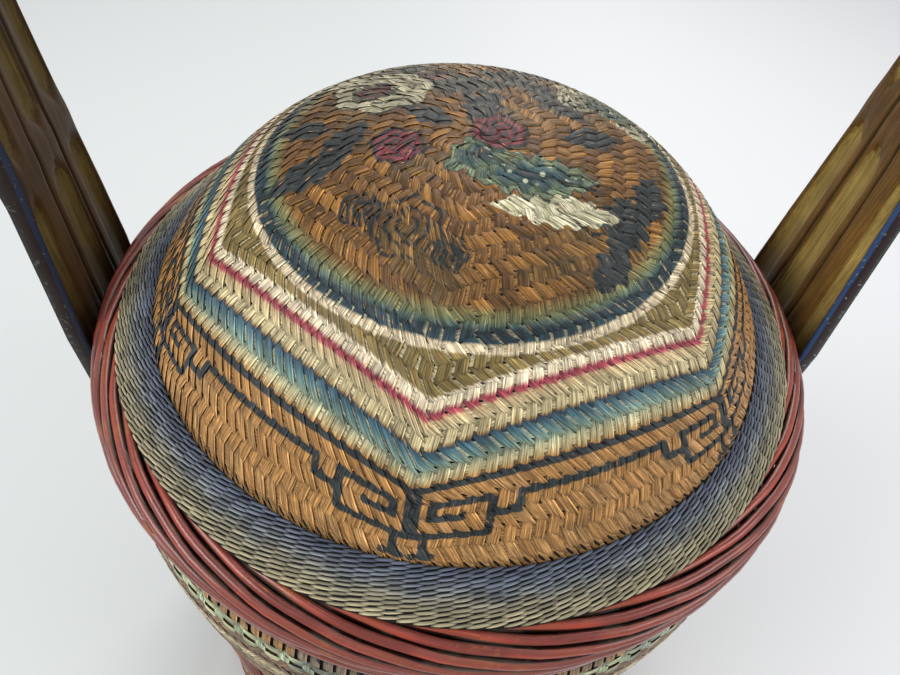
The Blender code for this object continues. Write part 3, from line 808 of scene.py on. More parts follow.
def bend_slat(index, sizes):
    """One bamboo slat bent over the basket: hollow inside between its knots, round outside."""
    place, half_length = arch_line()
    setback = (slat_low.y + slat_high.y) / 2
    start, end = HOLLOWS[index]
    section = [(across, 0.02 if abs(across) < 0.5 else 0.05) for across in INNER_FACE] + list(OUTER_FACE)
    shape = new_shape(*SLAT_FACTS)
    layer = shape.verts.layers.float
    fibre = shape.verts.layers.float_vector["fibre"]
    grid = bmesh.ops.create_grid(shape, x_segments=len(section), y_segments=SLAT_STEPS, size=1)["verts"]
    for vert in grid:
        corner = round((vert.co.x + 1) / 2 * len(section)) % len(section)
        run = (vert.co.y + 1) * half_length
        x, z, out_x, out_z, along = place(run)
        across, outward = section[corner]
        inside = outward < 0.5
        offset = (along - RIM_HEIGHT - KNOT_RISES[1 if x > 0 else -1]) % KNOT_SPACING
        distance = min(offset, KNOT_SPACING - offset)
        swell = KNOT_SWELL * (1 + cos(pi * min(distance / KNOT_HALF_LENGTH, 1))) / 2
        wander = noise.noise(Vector((along * 9, index * 7.0, 0.0)))
        middle = (start + end) / 2
        past_knot = ease(distance - KNOT_POINT * abs(across - middle), *KNOT_CLEAR)
        sway = 0.02 * wander
        hollow = ease(across, start + sway - 0.06, start + sway + 0.08)
        hollow *= 1 - ease(across, end + sway - 0.08, end + sway + 0.06)
        hollow *= past_knot if inside else 0
        height = outward * SLAT_THICKNESS + sizes.slat_hollow * hollow * (1 + 0.15 * wander)
        height += swell * (-0.4 if inside else 0.9)
        if inside:
            height += FACE_UNEVENNESS * abs(noise.noise(Vector((along * 12, index * 3.0, across * 5))))
        fan = 1 + (FOOT_WIDTH_SHARE - 1) * min(max((RIM_HEIGHT + FAN_RISE - z) / FAN_RISE, 0), 1)
        width = (index * SLAT_PITCH + across * SLAT_WIDTH) * fan
        vert[layer["across"]] = across
        vert[layer["hollow"]] = hollow
        vert[layer["outward"]] = outward
        vert[layer["knot"]] = max(0.0, 1 - distance / KNOT_SHADE_REACH)
        vert[layer["painted"]] = 1.0 if index < 0 and across < PAINTED_EDGE else 0.0
        vert[fibre] = Vector((width / MM, height / MM, along / MM))
        vert.co = (x + out_x * height, setback + width, z + out_z * height)
    bmesh.ops.remove_doubles(shape, verts=shape.verts, dist=0.01 * MM)
    bmesh.ops.holes_fill(shape, edges=[edge for edge in shape.edges if edge.is_boundary])
    bmesh.ops.recalc_face_normals(shape, faces=shape.faces)
    return shape


# Materials. In a MapRange, socket 0 is the value, 1 and 2 where it starts and ends, 3 and 4 what
# that becomes. In a Mix of colours, 0 is the share, 6 the ground and 7 the coat.

SOFT = {"interpolation_type": "SMOOTHSTEP"}
TIMES = {"operation": "MULTIPLY"}
TIMES_ADD = {"operation": "MULTIPLY_ADD"}


def add(tree, kind, sockets=None, out=0, stops=(), **settings):
    """Add a node with its settings, ramp colours and sockets' values or links; give one output."""
    made = tree.nodes.new("ShaderNode" + kind)
    for name, value in settings.items():
        setattr(made, name, value)
    for i, (position, tint) in enumerate(stops):
        elements = made.color_ramp.elements
        element = elements[i] if i < 2 else elements.new(position)
        element.position = position
        element.color = shade(tint)
    for socket, value in (sockets or {}).items():
        if isinstance(value, bpy.types.NodeSocket):
            tree.links.new(value, made.inputs[socket])
        else:
            made.inputs[socket].default_value = shade(value) if isinstance(value, (str, Color)) else value
    return made.outputs[out]


def lay_coats(tree, ground, *coats):
    """Lay coats of paint over a ground, the last one on top.

    A coat is a mask and a colour, or a value, where the coat starts and ends in it, how thick the
    coat is past its end, and a colour.
    """
    for mask, *edge, tint in coats:
        if edge:
            start, end, thickness = edge
            mask = add(tree, "MapRange", {0: mask, 1: start, 2: end, 4: thickness}, **SOFT)
        ground = add(tree, "Mix", {0: mask, 6: ground, 7: tint}, 2, data_type="RGBA")
    return ground


def dim(tree, tint, straight=(), soft=()):
    """Dim or lighten a colour by grades: each is a value, its start and end, and the shares there."""
    for grades, settings in ((straight, {}), (soft, SOFT)):
        for value, start, end, first, last in grades:
            share = add(tree, "MapRange", {0: value, 1: start, 2: end, 3: first, 4: last}, **settings)
            tint = add(tree, "Mix", {0: 1.0, 6: tint, 7: share}, 2, data_type="RGBA", blend_type="MULTIPLY")
    return tint


def along_fibre(tree, across, along, detail=2.0):
    """Noise that runs with the piece's own fibres; across and along are a streak's size in mm."""
    source = add(tree, "Attribute", out="Vector", attribute_name="fibre")
    scaled = add(tree, "Mapping", {"Vector": source, "Scale": (1 / across, 1 / along, 1.0)})
    return add(tree, "TexNoise", {"Vector": scaled, "Scale": 1.0, "Detail": detail, "Roughness": 0.6})


def blotches(tree, size, detail=2.0):
    """Noise in the object's own space, with spots of this size in mm."""
    source = add(tree, "TexCoord", out="Object")
    sockets = {"Vector": source, "Scale": 1 / (size * MM), "Detail": detail, "Roughness": 0.55}
    return add(tree, "TexNoise", sockets)


def new_material(name, roughness, **constants):
    """A material of one finish, with its Principled shader's constants set on its own sockets."""
    material = bpy.data.materials.new(name)
    material.use_nodes = True
    shader = material.node_tree.nodes["Principled BSDF"]
    shader.inputs["Roughness"].default_value = roughness
    for socket, value in constants.items():
        shader.inputs[socket.replace("_", " ")].default_value = value
    return material, material.node_tree, shader


def weather_and_shade_splits(tree, shader, paint, bare, wear_from):
    """Fibres, worn tops, an uneven tone, painted shade in the crossings and a painted highlight on each
    split's raised edge, over painted or bare splits.
    """
    tone, across, along, hole = (
        add(tree, "Attribute", out="Fac", attribute_name=name) for name in SPLIT_FACTS
    )
    # Single fibres of about 0.2 mm are too fine to show, so bundles of about 0.8 mm are drawn
    bundles = along_fibre(tree, 0.8, 16.0)
    scratches = along_fibre(tree, 0.45, 9.0)
    worn_streaks = along_fibre(tree, 0.9, 7.0, 3.0)
    patches = blotches(tree, 14.0, 4.0)
    specks = blotches(tree, 2.6, 3.0)
    end = add(tree, "Math", {0: along}, operation="ABSOLUTE")
    top = add(tree, "MapRange", {0: end, 1: 0.0, 2: 0.6, 3: 0.10, 4: -0.06})
    worn = add(tree, "Math", {0: worn_streaks, 1: top})
    worn = add(tree, "Math", {0: specks, 1: 0.35, 2: worn}, **TIMES_ADD)
    # Each split is painted darker under its neighbour's side and towards its tucked ends, as painted shade,
    # and lighter along its raised edge, as a painted highlight; the fibres, tone and patches are its own
    tint = dim(
        tree, lay_coats(tree, paint, (worn, wear_from, wear_from + 0.12, 1.0, bare)),
        straight=(
            (bundles, 0.36, 0.64, 0.58, 1.52), (tone, 0.0, 1.2, 0.78, 1.3), (patches, 0.3, 0.7, 0.74, 1.18),
        ),
        soft=(
            (scratches, 0.57, 0.66, 1.0, 2.0), (scratches, 0.42, 0.33, 1.0, 0.3),
            (across, -0.95, -0.7, 0.6, 1.0), (across, 0.6, 0.9, 1.0, 1.45), (end, 0.4, 0.75, 1.0, 0.6),
        ),
    )
    # Small holes between the splits are painted near black, as the shade in them
    tint = lay_coats(tree, tint, (hole, 0.32, 0.4, 1.0, "#0d0805"))
    tree.links.new(tint, shader.inputs["Base Color"])
    bump = add(tree, "Bump", {"Height": bundles, "Strength": 0.9, "Distance": 0.14 * MM})
    tree.links.new(bump, shader.inputs["Normal"])
    tree.links.new(add(tree, "MapRange", {0: specks, 3: 0.3, 4: 0.75}), shader.inputs["Roughness"])


def paint_hexagons(tree, colours, band):
    """The hexagons' bands, by how far down the middle of a side a place lies, in mm."""
    span = 200.0
    tan_ground = "#b08048"
    stops = (
        (0.0, colours.khaki), (107.8, colours.khaki), (108.8, colours.cream),
        (112.9, "#e0cfae"), (113.5, colours.red_band), (116.3, colours.red_band),
        (117.0, "#c0a57c"), (120.5, "#c8b68c"), (125.5, "#c6b88c"),
        (126.7, "#8a6638"), (127.4, colours.blue_band), (130.6, "#456873"),
        (134.0, colours.teal_band), (137.0, "#9aa284"), (139.4, "#c2b68c"),
        (142.2, "#b39a68"), (143.2, tan_ground), (200.0, tan_ground),
    )
    # The brush left the edges uneven by about a millimetre
    ragged = add(tree, "Math", {0: along_fibre(tree, 1.2, 5.0), 1: 3.0, 2: -1.5}, **TIMES_ADD)
    scaled = add(tree, "Math", {0: add(tree, "Math", {0: band, 1: ragged}), 1: 1 / span}, **TIMES)
    return add(tree, "ValToRGB", {0: scaled}, stops=[(mm / span, tint) for mm, tint in stops])


def paint_medallion(tree, colours, tone, disc):
    """The medallion's brown ground and its olive, blue-black and cream ring, by distance in mm."""
    reach = 110.0
    olive_ground, cream_edge = "#7c5f33", "#d3c2a2"
    stops = (
        (0.0, olive_ground), (84.0, olive_ground), (87.0, "#7c7248"), (90.0, "#6c7350"),
        (91.8, "#4c605a"), (93.2, colours.ring), (97.2, "#293f48"),
        (97.9, cream_edge), (102.0, cream_edge),
    )
    place = add(tree, "Math", {0: disc, 1: 1 / reach}, **TIMES)
    ring = add(tree, "ValToRGB", {0: place}, stops=[(mm / reach, tint) for mm, tint in stops])
    return lay_coats(
        tree, "#604326", (tone, "#8b612e"), (blotches(tree, 26.0, 3.0), 0.46, 0.62, 0.5, "#5b4e2f"),
        (disc, 83.0, 88.0, 1.0, ring),
    )


def paint_spray(tree, colours, ground):
    """The medallion's leaves and flowers and the outer fret, by their depths in mm, over a ground."""
    brush = add(tree, "Math", {0: blotches(tree, 4.0, 3.0), 1: 2.4, 2: -1.2}, **TIMES_ADD)
    slate = lay_coats(tree, "#2a2e2f", (along_fibre(tree, 2.0, 4.0, 3.0), colours.slate))
    depths, masks = {}, {}
    # Each motif's edge follows the brush by this share
    for name, soft in (
        ("leaf", 1.0), ("cream", 1.0), ("teal", 1.0), ("bloom", 1.0), ("line", 0.35), ("ink", 0.3),
    ):
        depth = add(tree, "Attribute", out="Fac", attribute_name=name)
        depths[name] = add(tree, "Math", {0: brush, 1: soft, 2: depth}, **TIMES_ADD)
        masks[name] = add(tree, "MapRange", {0: depths[name], 1: -0.3, 2: 0.4}, **SOFT)
    pale = lay_coats(tree, "#8a8a62", (blotches(tree, 7.0), "#d8cfb4"))
    dots = add(tree, "TexVoronoi", {
        "Vector": add(tree, "TexCoord", out="Object"), "Scale": 190.0, "Randomness": 0.8,
    }, "Distance")
    dotted = add(tree, "Math", {
        0: add(tree, "MapRange", {0: dots, 1: 0.3, 2: 0.2}, **SOFT),
        1: add(tree, "MapRange", {0: depths["teal"], 1: 3.0, 2: 6.0}, **SOFT),
    }, **TIMES)
    teal = lay_coats(
        tree, "#6c7858", (depths["teal"], 0.0, 9.0, 1.0, "#2a4448"), (dotted, "#b0b498"),
        (depths["teal"], 1.4, 0.4, 1.0, "#2a3030"),
    )
    petal_place = add(tree, "Math", {0: depths["bloom"], 1: 1 / 20}, **TIMES)
    petals = add(tree, "ValToRGB", {0: petal_place}, stops=(
        (0.0, "#3a2c24"), (0.05, "#5c2f2c"), (0.18, "#843540"), (0.5, "#6f2c33"),
        (0.75, "#604028"), (1.0, "#7a5c2f"),
    ))
    return lay_coats(
        tree, ground, (masks["leaf"], slate), (masks["cream"], pale), (masks["teal"], teal),
        (masks["bloom"], petals), (masks["line"], "#25292a"), (masks["ink"], slate),
    )


def painted_split_bamboo(colours):
    """Split bamboo plait in old oil paint: matt, worn to the fibre on the tops, dark in the crossings."""
    material, tree, shader = new_material("painted_split_bamboo", 0.5, Specular_IOR_Level=0.3)
    tone, band, disc = (
        add(tree, "Attribute", out="Fac", attribute_name=name) for name in ("tone", "band", "disc")
    )
    yellowed = add(tree, "MapRange", {0: tone, 1: 0.35, 2: 0.8, 4: 0.8})
    plait = lay_coats(tree, colours.plait, (yellowed, "#97744a"))
    past_bands = add(tree, "MapRange", {0: band, 1: 142.2, 2: 143.0}, **SOFT)
    ground = lay_coats(
        tree, paint_medallion(tree, colours, tone, disc),
        (disc, 100.2, 101.2, 1.0, paint_hexagons(tree, colours, band)), (past_bands, plait),
    )
    paint = paint_spray(tree, colours, ground)
    # Pale paint has pooled between the splits of the bands, and the back of the dome is paler with dust and a
    # painted sheen
    pooled = add(tree, "Math", {
        0: add(tree, "MapRange", {0: tone, 1: 1.04, 2: 1.1}),
        1: add(tree, "MapRange", {0: disc, 1: 90.0, 2: 97.0, 3: 0.05, 4: 0.5}, **SOFT),
    }, **TIMES)
    inside_bands = add(tree, "Math", {0: 1.0, 1: past_bands}, operation="SUBTRACT")
    pooled = add(tree, "Math", {0: pooled, 1: inside_bands}, **TIMES)
    to_back = add(tree, "SeparateXYZ", {0: add(tree, "TexCoord", out="Object")}, "Y")
    dust_and_sheen = add(tree, "Math", {
        0: add(tree, "MapRange", {0: to_back, 1: -0.01, 2: 0.11, 4: 0.55}, **SOFT),
        1: add(tree, "MapRange", {0: blotches(tree, 6.0, 4.0), 1: 0.35, 2: 0.6}, **SOFT),
    }, **TIMES)
    paint = lay_coats(tree, paint, (pooled, "#cdc3a0"), (dust_and_sheen, "#aea28a"))
    weather_and_shade_splits(tree, shader, paint, plait, 0.85)
    return material


def wall_split_bamboo():
    """The walls' splits: bare tan uprights, a pale green checkered row, brown and cream herringbone."""
    material, tree, shader = new_material("wall_split_bamboo", 0.5, IOR=1.5)
    band, kind = (add(tree, "Attribute", out="Fac", attribute_name=name) for name in ("band", "kind"))
    span = 190.0
    brown, green, bare, cream = "#76583a", "#a9b591", "#9a7340", "#b5a67c"
    stops = (
        (0.0, bare), (8.0, bare), (9.0, green), (16.5, green), (17.5, brown), (28.0, brown),
        (31.0, cream), (44.0, cream), (52.0, brown), (120.0, "#8a683c"),
        (143.0, brown), (145.0, green), (151.0, green), (153.0, brown), (170.0, brown), (180.0, bare),
    )
    place = add(tree, "Math", {0: band, 1: 1 / span}, **TIMES)
    paint = add(tree, "ValToRGB", {0: place}, stops=[(mm / span, tint) for mm, tint in stops])
    # Blue-grey paint is left here and there on the upper rows
    blue = add(tree, "Math", {
        0: add(tree, "MapRange", {0: blotches(tree, 60.0, 1.0), 1: 0.52, 2: 0.58}, **SOFT),
        1: add(tree, "MapRange", {0: band, 1: 20.0, 2: 17.0, 4: 0.5}, **SOFT),
    }, **TIMES)
    # The sunk splits of a checkered row show bare cane, painted dark as the shade in the windows between the
    # green ones
    sunk_and_shaded = add(tree, "MapRange", {0: kind, 1: 0.4, 2: 0.6})
    strip = add(tree, "MapRange", {0: kind, 1: 1.4, 2: 1.6})
    paint = lay_coats(
        tree, paint, (sunk_and_shaded, "#5a4429"), (strip, "#b4ba92"), (blue, "#55646a")
    )
    weather_and_shade_splits(tree, shader, paint, bare, 0.92)
    return material


def bare_split_bamboo():
    """Bare bamboo splits of the floors: pale straw, dry and matt."""
    material, tree, shader = new_material("bare_split_bamboo", 0.65, IOR=1.5)
    weather_and_shade_splits(tree, shader, "#b09360", "#b79a66", 0.9)
    return material


def dark_inner_plait(name, inside, painted_gap_shade):
    """The layer behind the splits: painted near black on its outer side as the shade in the gaps, bare plait
    on its inner side.
    """
    material, tree, shader = new_material(name, 0.8)
    source = add(tree, "TexCoord", out="Object")
    normal = add(tree, "NewGeometry", out="Normal")
    out = add(tree, "VectorMath", {0: normal, 1: source}, "Value", operation="DOT_PRODUCT")
    weave = add(tree, "TexBrick", {
        "Vector": source, "Color1": inside, "Color2": "#8c6f45", "Mortar": "#4b3822",
        "Scale": 60.0, "Mortar Size": 0.012, "Brick Width": 0.9, "Row Height": 0.36,
    })
    facing = add(tree, "MapRange", {0: out, 1: -0.01, 2: 0.01})
    # Its outward faces take the painted shade that shows between the splits
    tree.links.new(lay_coats(tree, weave, (facing, painted_gap_shade)), shader.inputs["Base Color"])
    return material


def twined_cane(colours):
    """Fine twined cane: blue-grey stain near the dome, bare grey-beige outside, dusty and matt."""
    material, tree, shader = new_material("twined_cane", 0.62)
    tone, across, along, band = (
        add(tree, "Attribute", out="Fac", attribute_name=name) for name in ("tone", "across", "along", "band")
    )
    # The stain's edge drifts by up to 4.5 mm either way
    drift = add(tree, "Math", {0: blotches(tree, 14.0, 3.0), 1: 9.0, 2: band}, **TIMES_ADD)
    width = 26.0
    place = add(tree, "Math", {0: drift, 1: 1 / width, 2: -4.5 / width}, **TIMES_ADD)
    stain = add(tree, "ValToRGB", {0: place}, stops=(
        (0.0, "#4a5264"), (0.16, "#5d6678"), (0.34, "#777d82"), (0.52, "#918d79"),
        (0.72, "#a19879"), (1.0, colours.strand),
    ))
    fibres = along_fibre(tree, 0.35, 5.0)
    end = add(tree, "Math", {0: along}, operation="ABSOLUTE")
    # Each strand is painted darker along its upper side and lighter along its lower edge, as painted shade
    # and highlight, and darker at its dipping ends, as painted shade
    tint = dim(
        tree, stain,
        straight=((fibres, 0.3, 0.7, 0.65, 1.35), (tone, 0.0, 1.0, 0.6, 1.3)),
        soft=((across, -1.0, 0.5, 0.45, 1.2), (end, 0.55, 1.0, 1.0, 0.4)),
    )
    tree.links.new(tint, shader.inputs["Base Color"])
    bump = add(tree, "Bump", {"Height": fibres, "Strength": 0.8, "Distance": 0.1 * MM})
    tree.links.new(bump, shader.inputs["Normal"])
    return material


def lacquered_cane(colours):
    """Round cane under worn red lacquer: a thin clear highlight, mauve flanks, dust and painted shade in the
    grooves.
    """
    material, tree, shader = new_material(
        "lacquered_cane", 0.3, Specular_IOR_Level=0.4, Coat_Weight=0.4, Coat_Roughness=0.08
    )
    tone, flank, groove = (add(tree, "Attribute", out="Fac", attribute_name=name) for name in ROPE_FACTS)
    streaks = along_fibre(tree, 0.9, 40.0, 4.0)
    wide_spots = blotches(tree, 16.0, 4.0)
    side = add(tree, "Math", {0: streaks, 1: 0.8, 2: flank}, **TIMES_ADD)
    rubbed = add(tree, "Math", {0: streaks, 1: 0.35, 2: wide_spots}, **TIMES_ADD)
    uneven = add(tree, "Math", {0: wide_spots, 1: 0.14, 2: groove}, **TIMES_ADD)
    dusty = add(tree, "Math", {
        0: add(tree, "MapRange", {0: uneven, 1: 0.2, 2: 0.32}, **SOFT),
        1: add(tree, "MapRange", {0: wide_spots, 1: 0.47, 2: 0.6, 4: 0.5}, **SOFT),
    }, **TIMES)
    # Near black in the grooves between the rods is painted shade; the grey-brown dust lies along their edges
    tint = lay_coats(
        tree, colours.lacquer, (side, 0.05, 0.75, 1.0, "#86443a"), (tone, 0.6, 0.9, 0.6, "#94462c"),
        (tone, 0.4, 0.15, 0.7, "#6e2c26"), (rubbed, 0.77, 0.87, 0.7, "#ab6234"),
        (uneven, 0.26, 0.42, 1.0, "#24100d"), (dusty, "#5c4f45"),
    )
    tint = dim(tree, tint, straight=((streaks, 0.3, 0.7, 0.6, 1.35),))
    tree.links.new(tint, shader.inputs["Base Color"])
    polish = add(tree, "MapRange", {0: wide_spots, 3: 0.14, 4: 0.36})
    rough = add(tree, "Math", {0: groove, 1: 0.5, 2: polish}, **TIMES_ADD)
    tree.links.new(rough, shader.inputs["Roughness"])
    bump = add(tree, "Bump", {"Height": streaks, "Strength": 0.5, "Distance": 0.12 * MM})
    tree.links.new(bump, shader.inputs["Normal"])
    return material


def bent_split_bamboo(colours):
    """Bent bamboo slats: pale olive pith in the hollow, brown skin, oil paint on the front edge."""
    material, tree, shader = new_material("bent_split_bamboo", 0.42, Specular_IOR_Level=0.3)
    across, hollow, outward, knot, painted = (
        add(tree, "Attribute", out="Fac", attribute_name=name) for name in SLAT_FACTS
    )
    source = add(tree, "Attribute", out="Vector", attribute_name="fibre")
    fibres, wide = (
        add(tree, "TexNoise", {
            "Vector": add(tree, "Mapping", {"Vector": source, "Scale": (1 / mm, 1 / mm, 1 / run)}),
            "Scale": 1.0, "Detail": 4.0, "Roughness": 0.6,
        }) for mm, run in ((0.45, 30.0), (2.6, 60.0))
    )
    wide_spots = blotches(tree, 18.0, 4.0)
    here = add(tree, "TexCoord", out="Object")
    to_right = add(tree, "SeparateXYZ", {0: here}, "X")
    height = add(tree, "SeparateXYZ", {0: here}, "Z")
    pith = lay_coats(tree, "#94803f", (wide, colours.bamboo))
    skin = lay_coats(tree, "#4d3416", (wide, "#9a7436"))
    side = add(tree, "Math", {0: across}, operation="ABSOLUTE")
    edge = add(tree, "Math", {0: wide, 1: 0.2, 2: outward}, **TIMES_ADD)
    front = lay_coats(
        tree, "#2f4f7c", (edge, 0.32, 0.4, 1.0, "#2c1718"), (edge, 0.74, 0.82, 1.0, "#34423f"),
        (blotches(tree, 3.0), 0.64, 0.68, 0.6, "#9aa6aa"),
    )
    tint = lay_coats(
        tree, skin, (hollow, 0.25, 0.7, 1.0, pith), (outward, 0.5, 0.7, 1.0, "#6d4f28"),
        (add(tree, "Math", {0: knot, 1: 0.5}, **TIMES), "#5a3c1e"),
    )
    # Painted shadow lies low on the slats by the rim, and painted shade along their sides where they meet
    tint = dim(
        tree, tint,
        straight=((fibres, 0.35, 0.65, 0.55, 1.35), (wide_spots, 0.3, 0.7, 0.72, 1.16)),
        soft=((height, RIM_HEIGHT, RIM_HEIGHT + 0.035, 0.3, 1.0), (side, 0.42, 0.5, 1.0, 0.45)),
    )
    # The handle's left side is painted much darker than its right, as painted shade on its inner faces
    tint = lay_coats(tree, tint, (painted, front), (to_right, 0.1, -0.1, 0.72, "#1c0d03"))
    tree.links.new(tint, shader.inputs["Base Color"])
    tree.links.new(add(tree, "MapRange", {0: wide_spots, 3: 0.35, 4: 0.7}), shader.inputs["Roughness"])
    bump = add(tree, "Bump", {"Height": fibres, "Strength": 0.6, "Distance": 0.12 * MM})
    tree.links.new(bump, shader.inputs["Normal"])
    return material


def plain_bamboo(name, light, dark, roughness):
    """Bare bamboo of a hoop, batten or peg: long dark fibres in a dry or oiled surface."""
    material, tree, shader = new_material(name, roughness)
    source = add(tree, "TexCoord", out="Object")
    stretched = add(tree, "Mapping", {"Vector": source, "Scale": (90.0, 90.0, 900.0)})
    fibres = add(tree, "TexNoise", {"Vector": stretched, "Scale": 1.0, "Detail": 4.0})
    mixed = add(tree, "Math", {0: blotches(tree, 20.0, 3.0), 1: 0.4, 2: fibres}, **TIMES_ADD)
    light_share = add(tree, "MapRange", {0: mixed, 1: 0.4, 2: 1.0})
    tree.links.new(lay_coats(tree, dark, (light_share, light)), shader.inputs["Base Color"])
    bump = add(tree, "Bump", {"Height": fibres, "Strength": 0.5, "Distance": 0.1 * MM})
    tree.links.new(bump, shader.inputs["Normal"])
    return material


# The stage

FOCAL_LENGTH = 27.2             # mm, on a sensor 36 mm wide
CAMERA_PLACE = (-0.03525, -0.25082, 0.71302)
CAMERA_YAW, CAMERA_PITCH, CAMERA_ROLL = 0.13114, 0.88698, 0.12437
FLOOR_HALF_WIDTH = 6            # metres
SKY_STRENGTH = 0.56
LAMP_AIM = (0, 0, 0.42)
# Each window's place, its width in metres and its power in watts
WINDOWS = {
    "left_window": ((-1.3, -0.4, 1.7), 1.0, 17.0),
    "right_window": ((1.4, -0.5, 1.5), 1.0, 9.0),
    "back_window": ((0.3, 1.4, 1.7), 1.2, 14.0),
}


def camera_turn():
    """The camera's turn: yaw to the right, pitch down, then roll about its own line of sight."""
    yaw, pitch, roll = CAMERA_YAW, CAMERA_PITCH, CAMERA_ROLL
    ahead = Vector((sin(yaw) * cos(pitch), cos(yaw) * cos(pitch), -sin(pitch)))
    right = Vector((cos(yaw), -sin(yaw), 0))
    up = right.cross(ahead)
    tilted_right = right * cos(roll) + up * sin(roll)
    tilted_up = up * cos(roll) - right * sin(roll)
    return Matrix((tilted_right, tilted_up, -ahead)).transposed().to_4x4()


# Operators

class BASKET_OT_stage(bpy.types.Operator):
    """Set the pale floor, the soft studio light and the camera that looks down on the lid."""

    bl_idname = "basket.stage"
    bl_label = "Set the stage"

    def execute(self, context):
        scene = context.scene
        shape = bmesh.new()
        bmesh.ops.create_grid(shape, x_segments=1, y_segments=1, size=FLOOR_HALF_WIDTH)
        mesh = bpy.data.meshes.new("studio_floor")
        shape.to_mesh(mesh)
        shape.free()
        material, tree, shader = new_material("studio_paper", 0.9, Specular_IOR_Level=0.0)
        to_right = add(tree, "SeparateXYZ", {0: add(tree, "TexCoord", out="Object")}, "X")
        # The paper is painted brighter towards the right, as painted light
        paper = lay_coats(tree, scene.basket_colours.floor, (to_right, -0.2, 0.5, 1.0, "#eaebed"))
        tree.links.new(paper, shader.inputs["Base Color"])
        mesh.materials.append(material)
        floor = bpy.data.objects.new("studio_floor", mesh)
        scene.collection.objects.link(floor)
        world = bpy.data.worlds.new("studio")
        world.use_nodes = True
        background = world.node_tree.nodes["Background"]
        background.inputs["Color"].default_value = (1, 1, 1, 1)
        background.inputs["Strength"].default_value = SKY_STRENGTH
        scene.world = world
        for name, (place, width, power) in WINDOWS.items():
            lamp = bpy.data.lights.new(name, "AREA")
            lamp.shape = "DISK"
            lamp.size = width
            lamp.energy = power
            holder = bpy.data.objects.new(name, lamp)
            scene.collection.objects.link(holder)
            holder.location = place
            aim = Vector(LAMP_AIM) - Vector(place)
            holder.rotation_euler = aim.to_track_quat("-Z", "Y").to_euler()
        view = bpy.data.cameras.new("camera")
        view.sensor_width = 36
        view.lens = FOCAL_LENGTH
        camera = bpy.data.objects.new("camera", view)
        scene.collection.objects.link(camera)
        camera.matrix_world = Matrix.Translation(CAMERA_PLACE) @ camera_turn()
        scene.camera = camera
        scene.view_settings.view_transform = "Standard"
        return {"FINISHED"}


class BASKET_OT_dome(bpy.types.Operator):
    """Plait the dome in six sectors and paint its medallion, bands and fret."""

    bl_idname = "basket.dome"
    bl_label = "Plait the dome"

    def execute(self, context):
        sizes, colours = context.scene.basket_sizes, context.scene.basket_colours
        paint = painted_split_bamboo(colours)
        finish_piece("dome_plait", plait_dome(sizes), paint, "lid", ("lid_dome",))
        lining = dark_inner_plait("dome_inner_layer", "#a88a58", "#1a110a")
        finish_piece("dome_lining", line_dome(sizes), lining, "lid")
        return {"FINISHED"}


class BASKET_OT_band(bpy.types.Operator):
    """Twine the band of fine cane round the dome."""

    bl_idname = "basket.band"
    bl_label = "Twine the band"

    def execute(self, context):
        sizes, colours = context.scene.basket_sizes, context.scene.basket_colours
        cane = twined_cane(colours)
        finish_piece("band_strands", twine_band(sizes), cane, "lid", ("lid_twined_band",))
        lining = dark_inner_plait("band_inner_layer", "#3c3a36", "#0f1014")
        finish_piece("band_stakes", line_band(), lining, "lid")
        return {"FINISHED"}


class BASKET_OT_ropes(bpy.types.Operator):
    """Lay the red cane rods of the four rims."""

    bl_idname = "basket.ropes"
    bl_label = "Lay the rims"

    def execute(self, context):
        material = lacquered_cane(context.scene.basket_colours)
        for number, (node, body, rods, lay_rods) in enumerate(ROPES):
            name = node.replace("rope", "rods")
            rope = lay_rope(node, rods, lay_rods, number * 5.0)
            finish_piece(name, rope, material, body, (node,))
        return {"FINISHED"}


class BASKET_OT_walls(bpy.types.Operator):
    """Plait the walls and floors of the two tiers."""

    bl_idname = "basket.walls"
    bl_label = "Plait the tiers"

    def execute(self, context):
        sizes = context.scene.basket_sizes
        material = wall_split_bamboo()
        lining = dark_inner_plait("wall_inner_layer", "#a88a58", "#1c120b")
        floor = bare_split_bamboo()
        for tier, body, setbacks, number in TIERS:
            node = f"{tier}_wall"
            wall = plait_wall(node, setbacks, sizes, number)
            finish_piece(f"{tier}_wall_plait", wall, material, body, (node,))
            finish_piece(f"{tier}_wall_lining", line_wall(node, setbacks), lining, body)
            node = f"{tier}_floor"
            plait = plait_floor(node, number + 20)
            finish_piece(f"{tier}_floor_plait", plait, floor, body, (node,))
        return {"FINISHED"}


class BASKET_OT_handle(bpy.types.Operator):
    """Bend the three bamboo slats of the handle."""

    bl_idname = "basket.handle"
    bl_label = "Bend the handle"

    def execute(self, context):
        sizes = context.scene.basket_sizes
        material = bent_split_bamboo(context.scene.basket_colours)
        for index, place in ((-1, "front"), (0, "middle"), (1, "back")):
            slat, node = bend_slat(index, sizes), f"handle_slat_{place}"
            finish_piece(f"bent_slat_{place}", slat, material, "base", (node,))
        return {"FINISHED"}


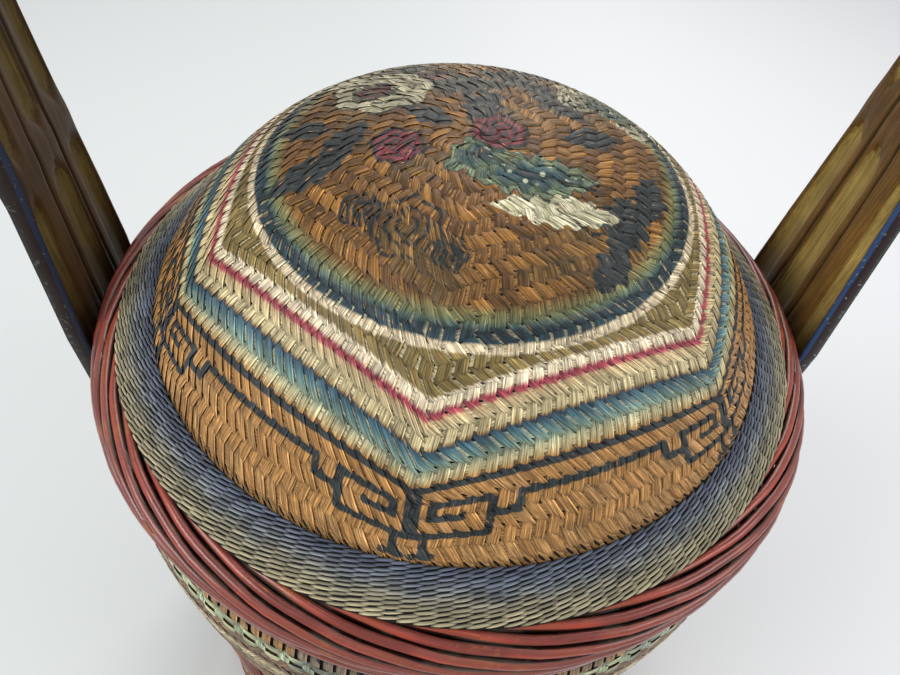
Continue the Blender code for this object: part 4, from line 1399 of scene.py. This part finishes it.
class BASKET_OT_hoops(bpy.types.Operator):
    """Finish the hoops, battens, pegs and pins that stay as they are in the frame."""

    bl_idname = "basket.hoops"
    bl_label = "Finish hoops and pegs"

    def execute(self, context):
        finishes = {
            ("hoop",): plain_bamboo("bare_hoop_bamboo", "#a07c4a", "#5c3f22", 0.6),
            ("batten",): plain_bamboo("oiled_batten_bamboo", "#a08a52", "#6b5330", 0.5),
            ("peg", "pin"): plain_bamboo("dark_peg_bamboo", "#7a5836", "#3f2a18", 0.45),
        }
        for words, material in finishes.items():
            for name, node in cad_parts.items():
                if any(word in name for word in words):
                    node.data.materials.clear()
                    node.data.materials.append(material)
        return {"FINISHED"}


OPERATORS = (
    BASKET_OT_stage, BASKET_OT_dome, BASKET_OT_band, BASKET_OT_ropes, BASKET_OT_walls, BASKET_OT_handle,
    BASKET_OT_hoops,
)


class BASKET_PT_panel(bpy.types.Panel):
    """The basket's steps, sizes and colours."""

    bl_idname = "BASKET_PT_panel"
    bl_label = "Wedding basket"
    bl_space_type = "VIEW_3D"
    bl_region_type = "UI"
    bl_category = "Basket"

    def draw(self, context):
        for operator in OPERATORS:
            self.layout.operator(operator.bl_idname)
        for group in (context.scene.basket_sizes, context.scene.basket_colours):
            for name in group.__annotations__:
                self.layout.prop(group, name)


CLASSES = (BasketSizes, BasketColours, *OPERATORS, BASKET_PT_panel)


def register():
    """Make the steps, sizes and colours known to Blender."""
    for made in CLASSES:
        bpy.utils.register_class(made)
    bpy.types.Scene.basket_sizes = bpy.props.PointerProperty(type=BasketSizes)
    bpy.types.Scene.basket_colours = bpy.props.PointerProperty(type=BasketColours)


def unregister():
    """Take the steps, sizes and colours out again."""
    del bpy.types.Scene.basket_colours
    del bpy.types.Scene.basket_sizes
    for made in reversed(CLASSES):
        bpy.utils.unregister_class(made)


def main():
    """Build the basket step by step."""
    register()
    bpy.ops.basket.stage()
    bpy.ops.basket.dome()
    bpy.ops.basket.band()
    bpy.ops.basket.ropes()
    bpy.ops.basket.walls()
    bpy.ops.basket.handle()
    bpy.ops.basket.hoops()


if __name__ == "__main__":
    main()
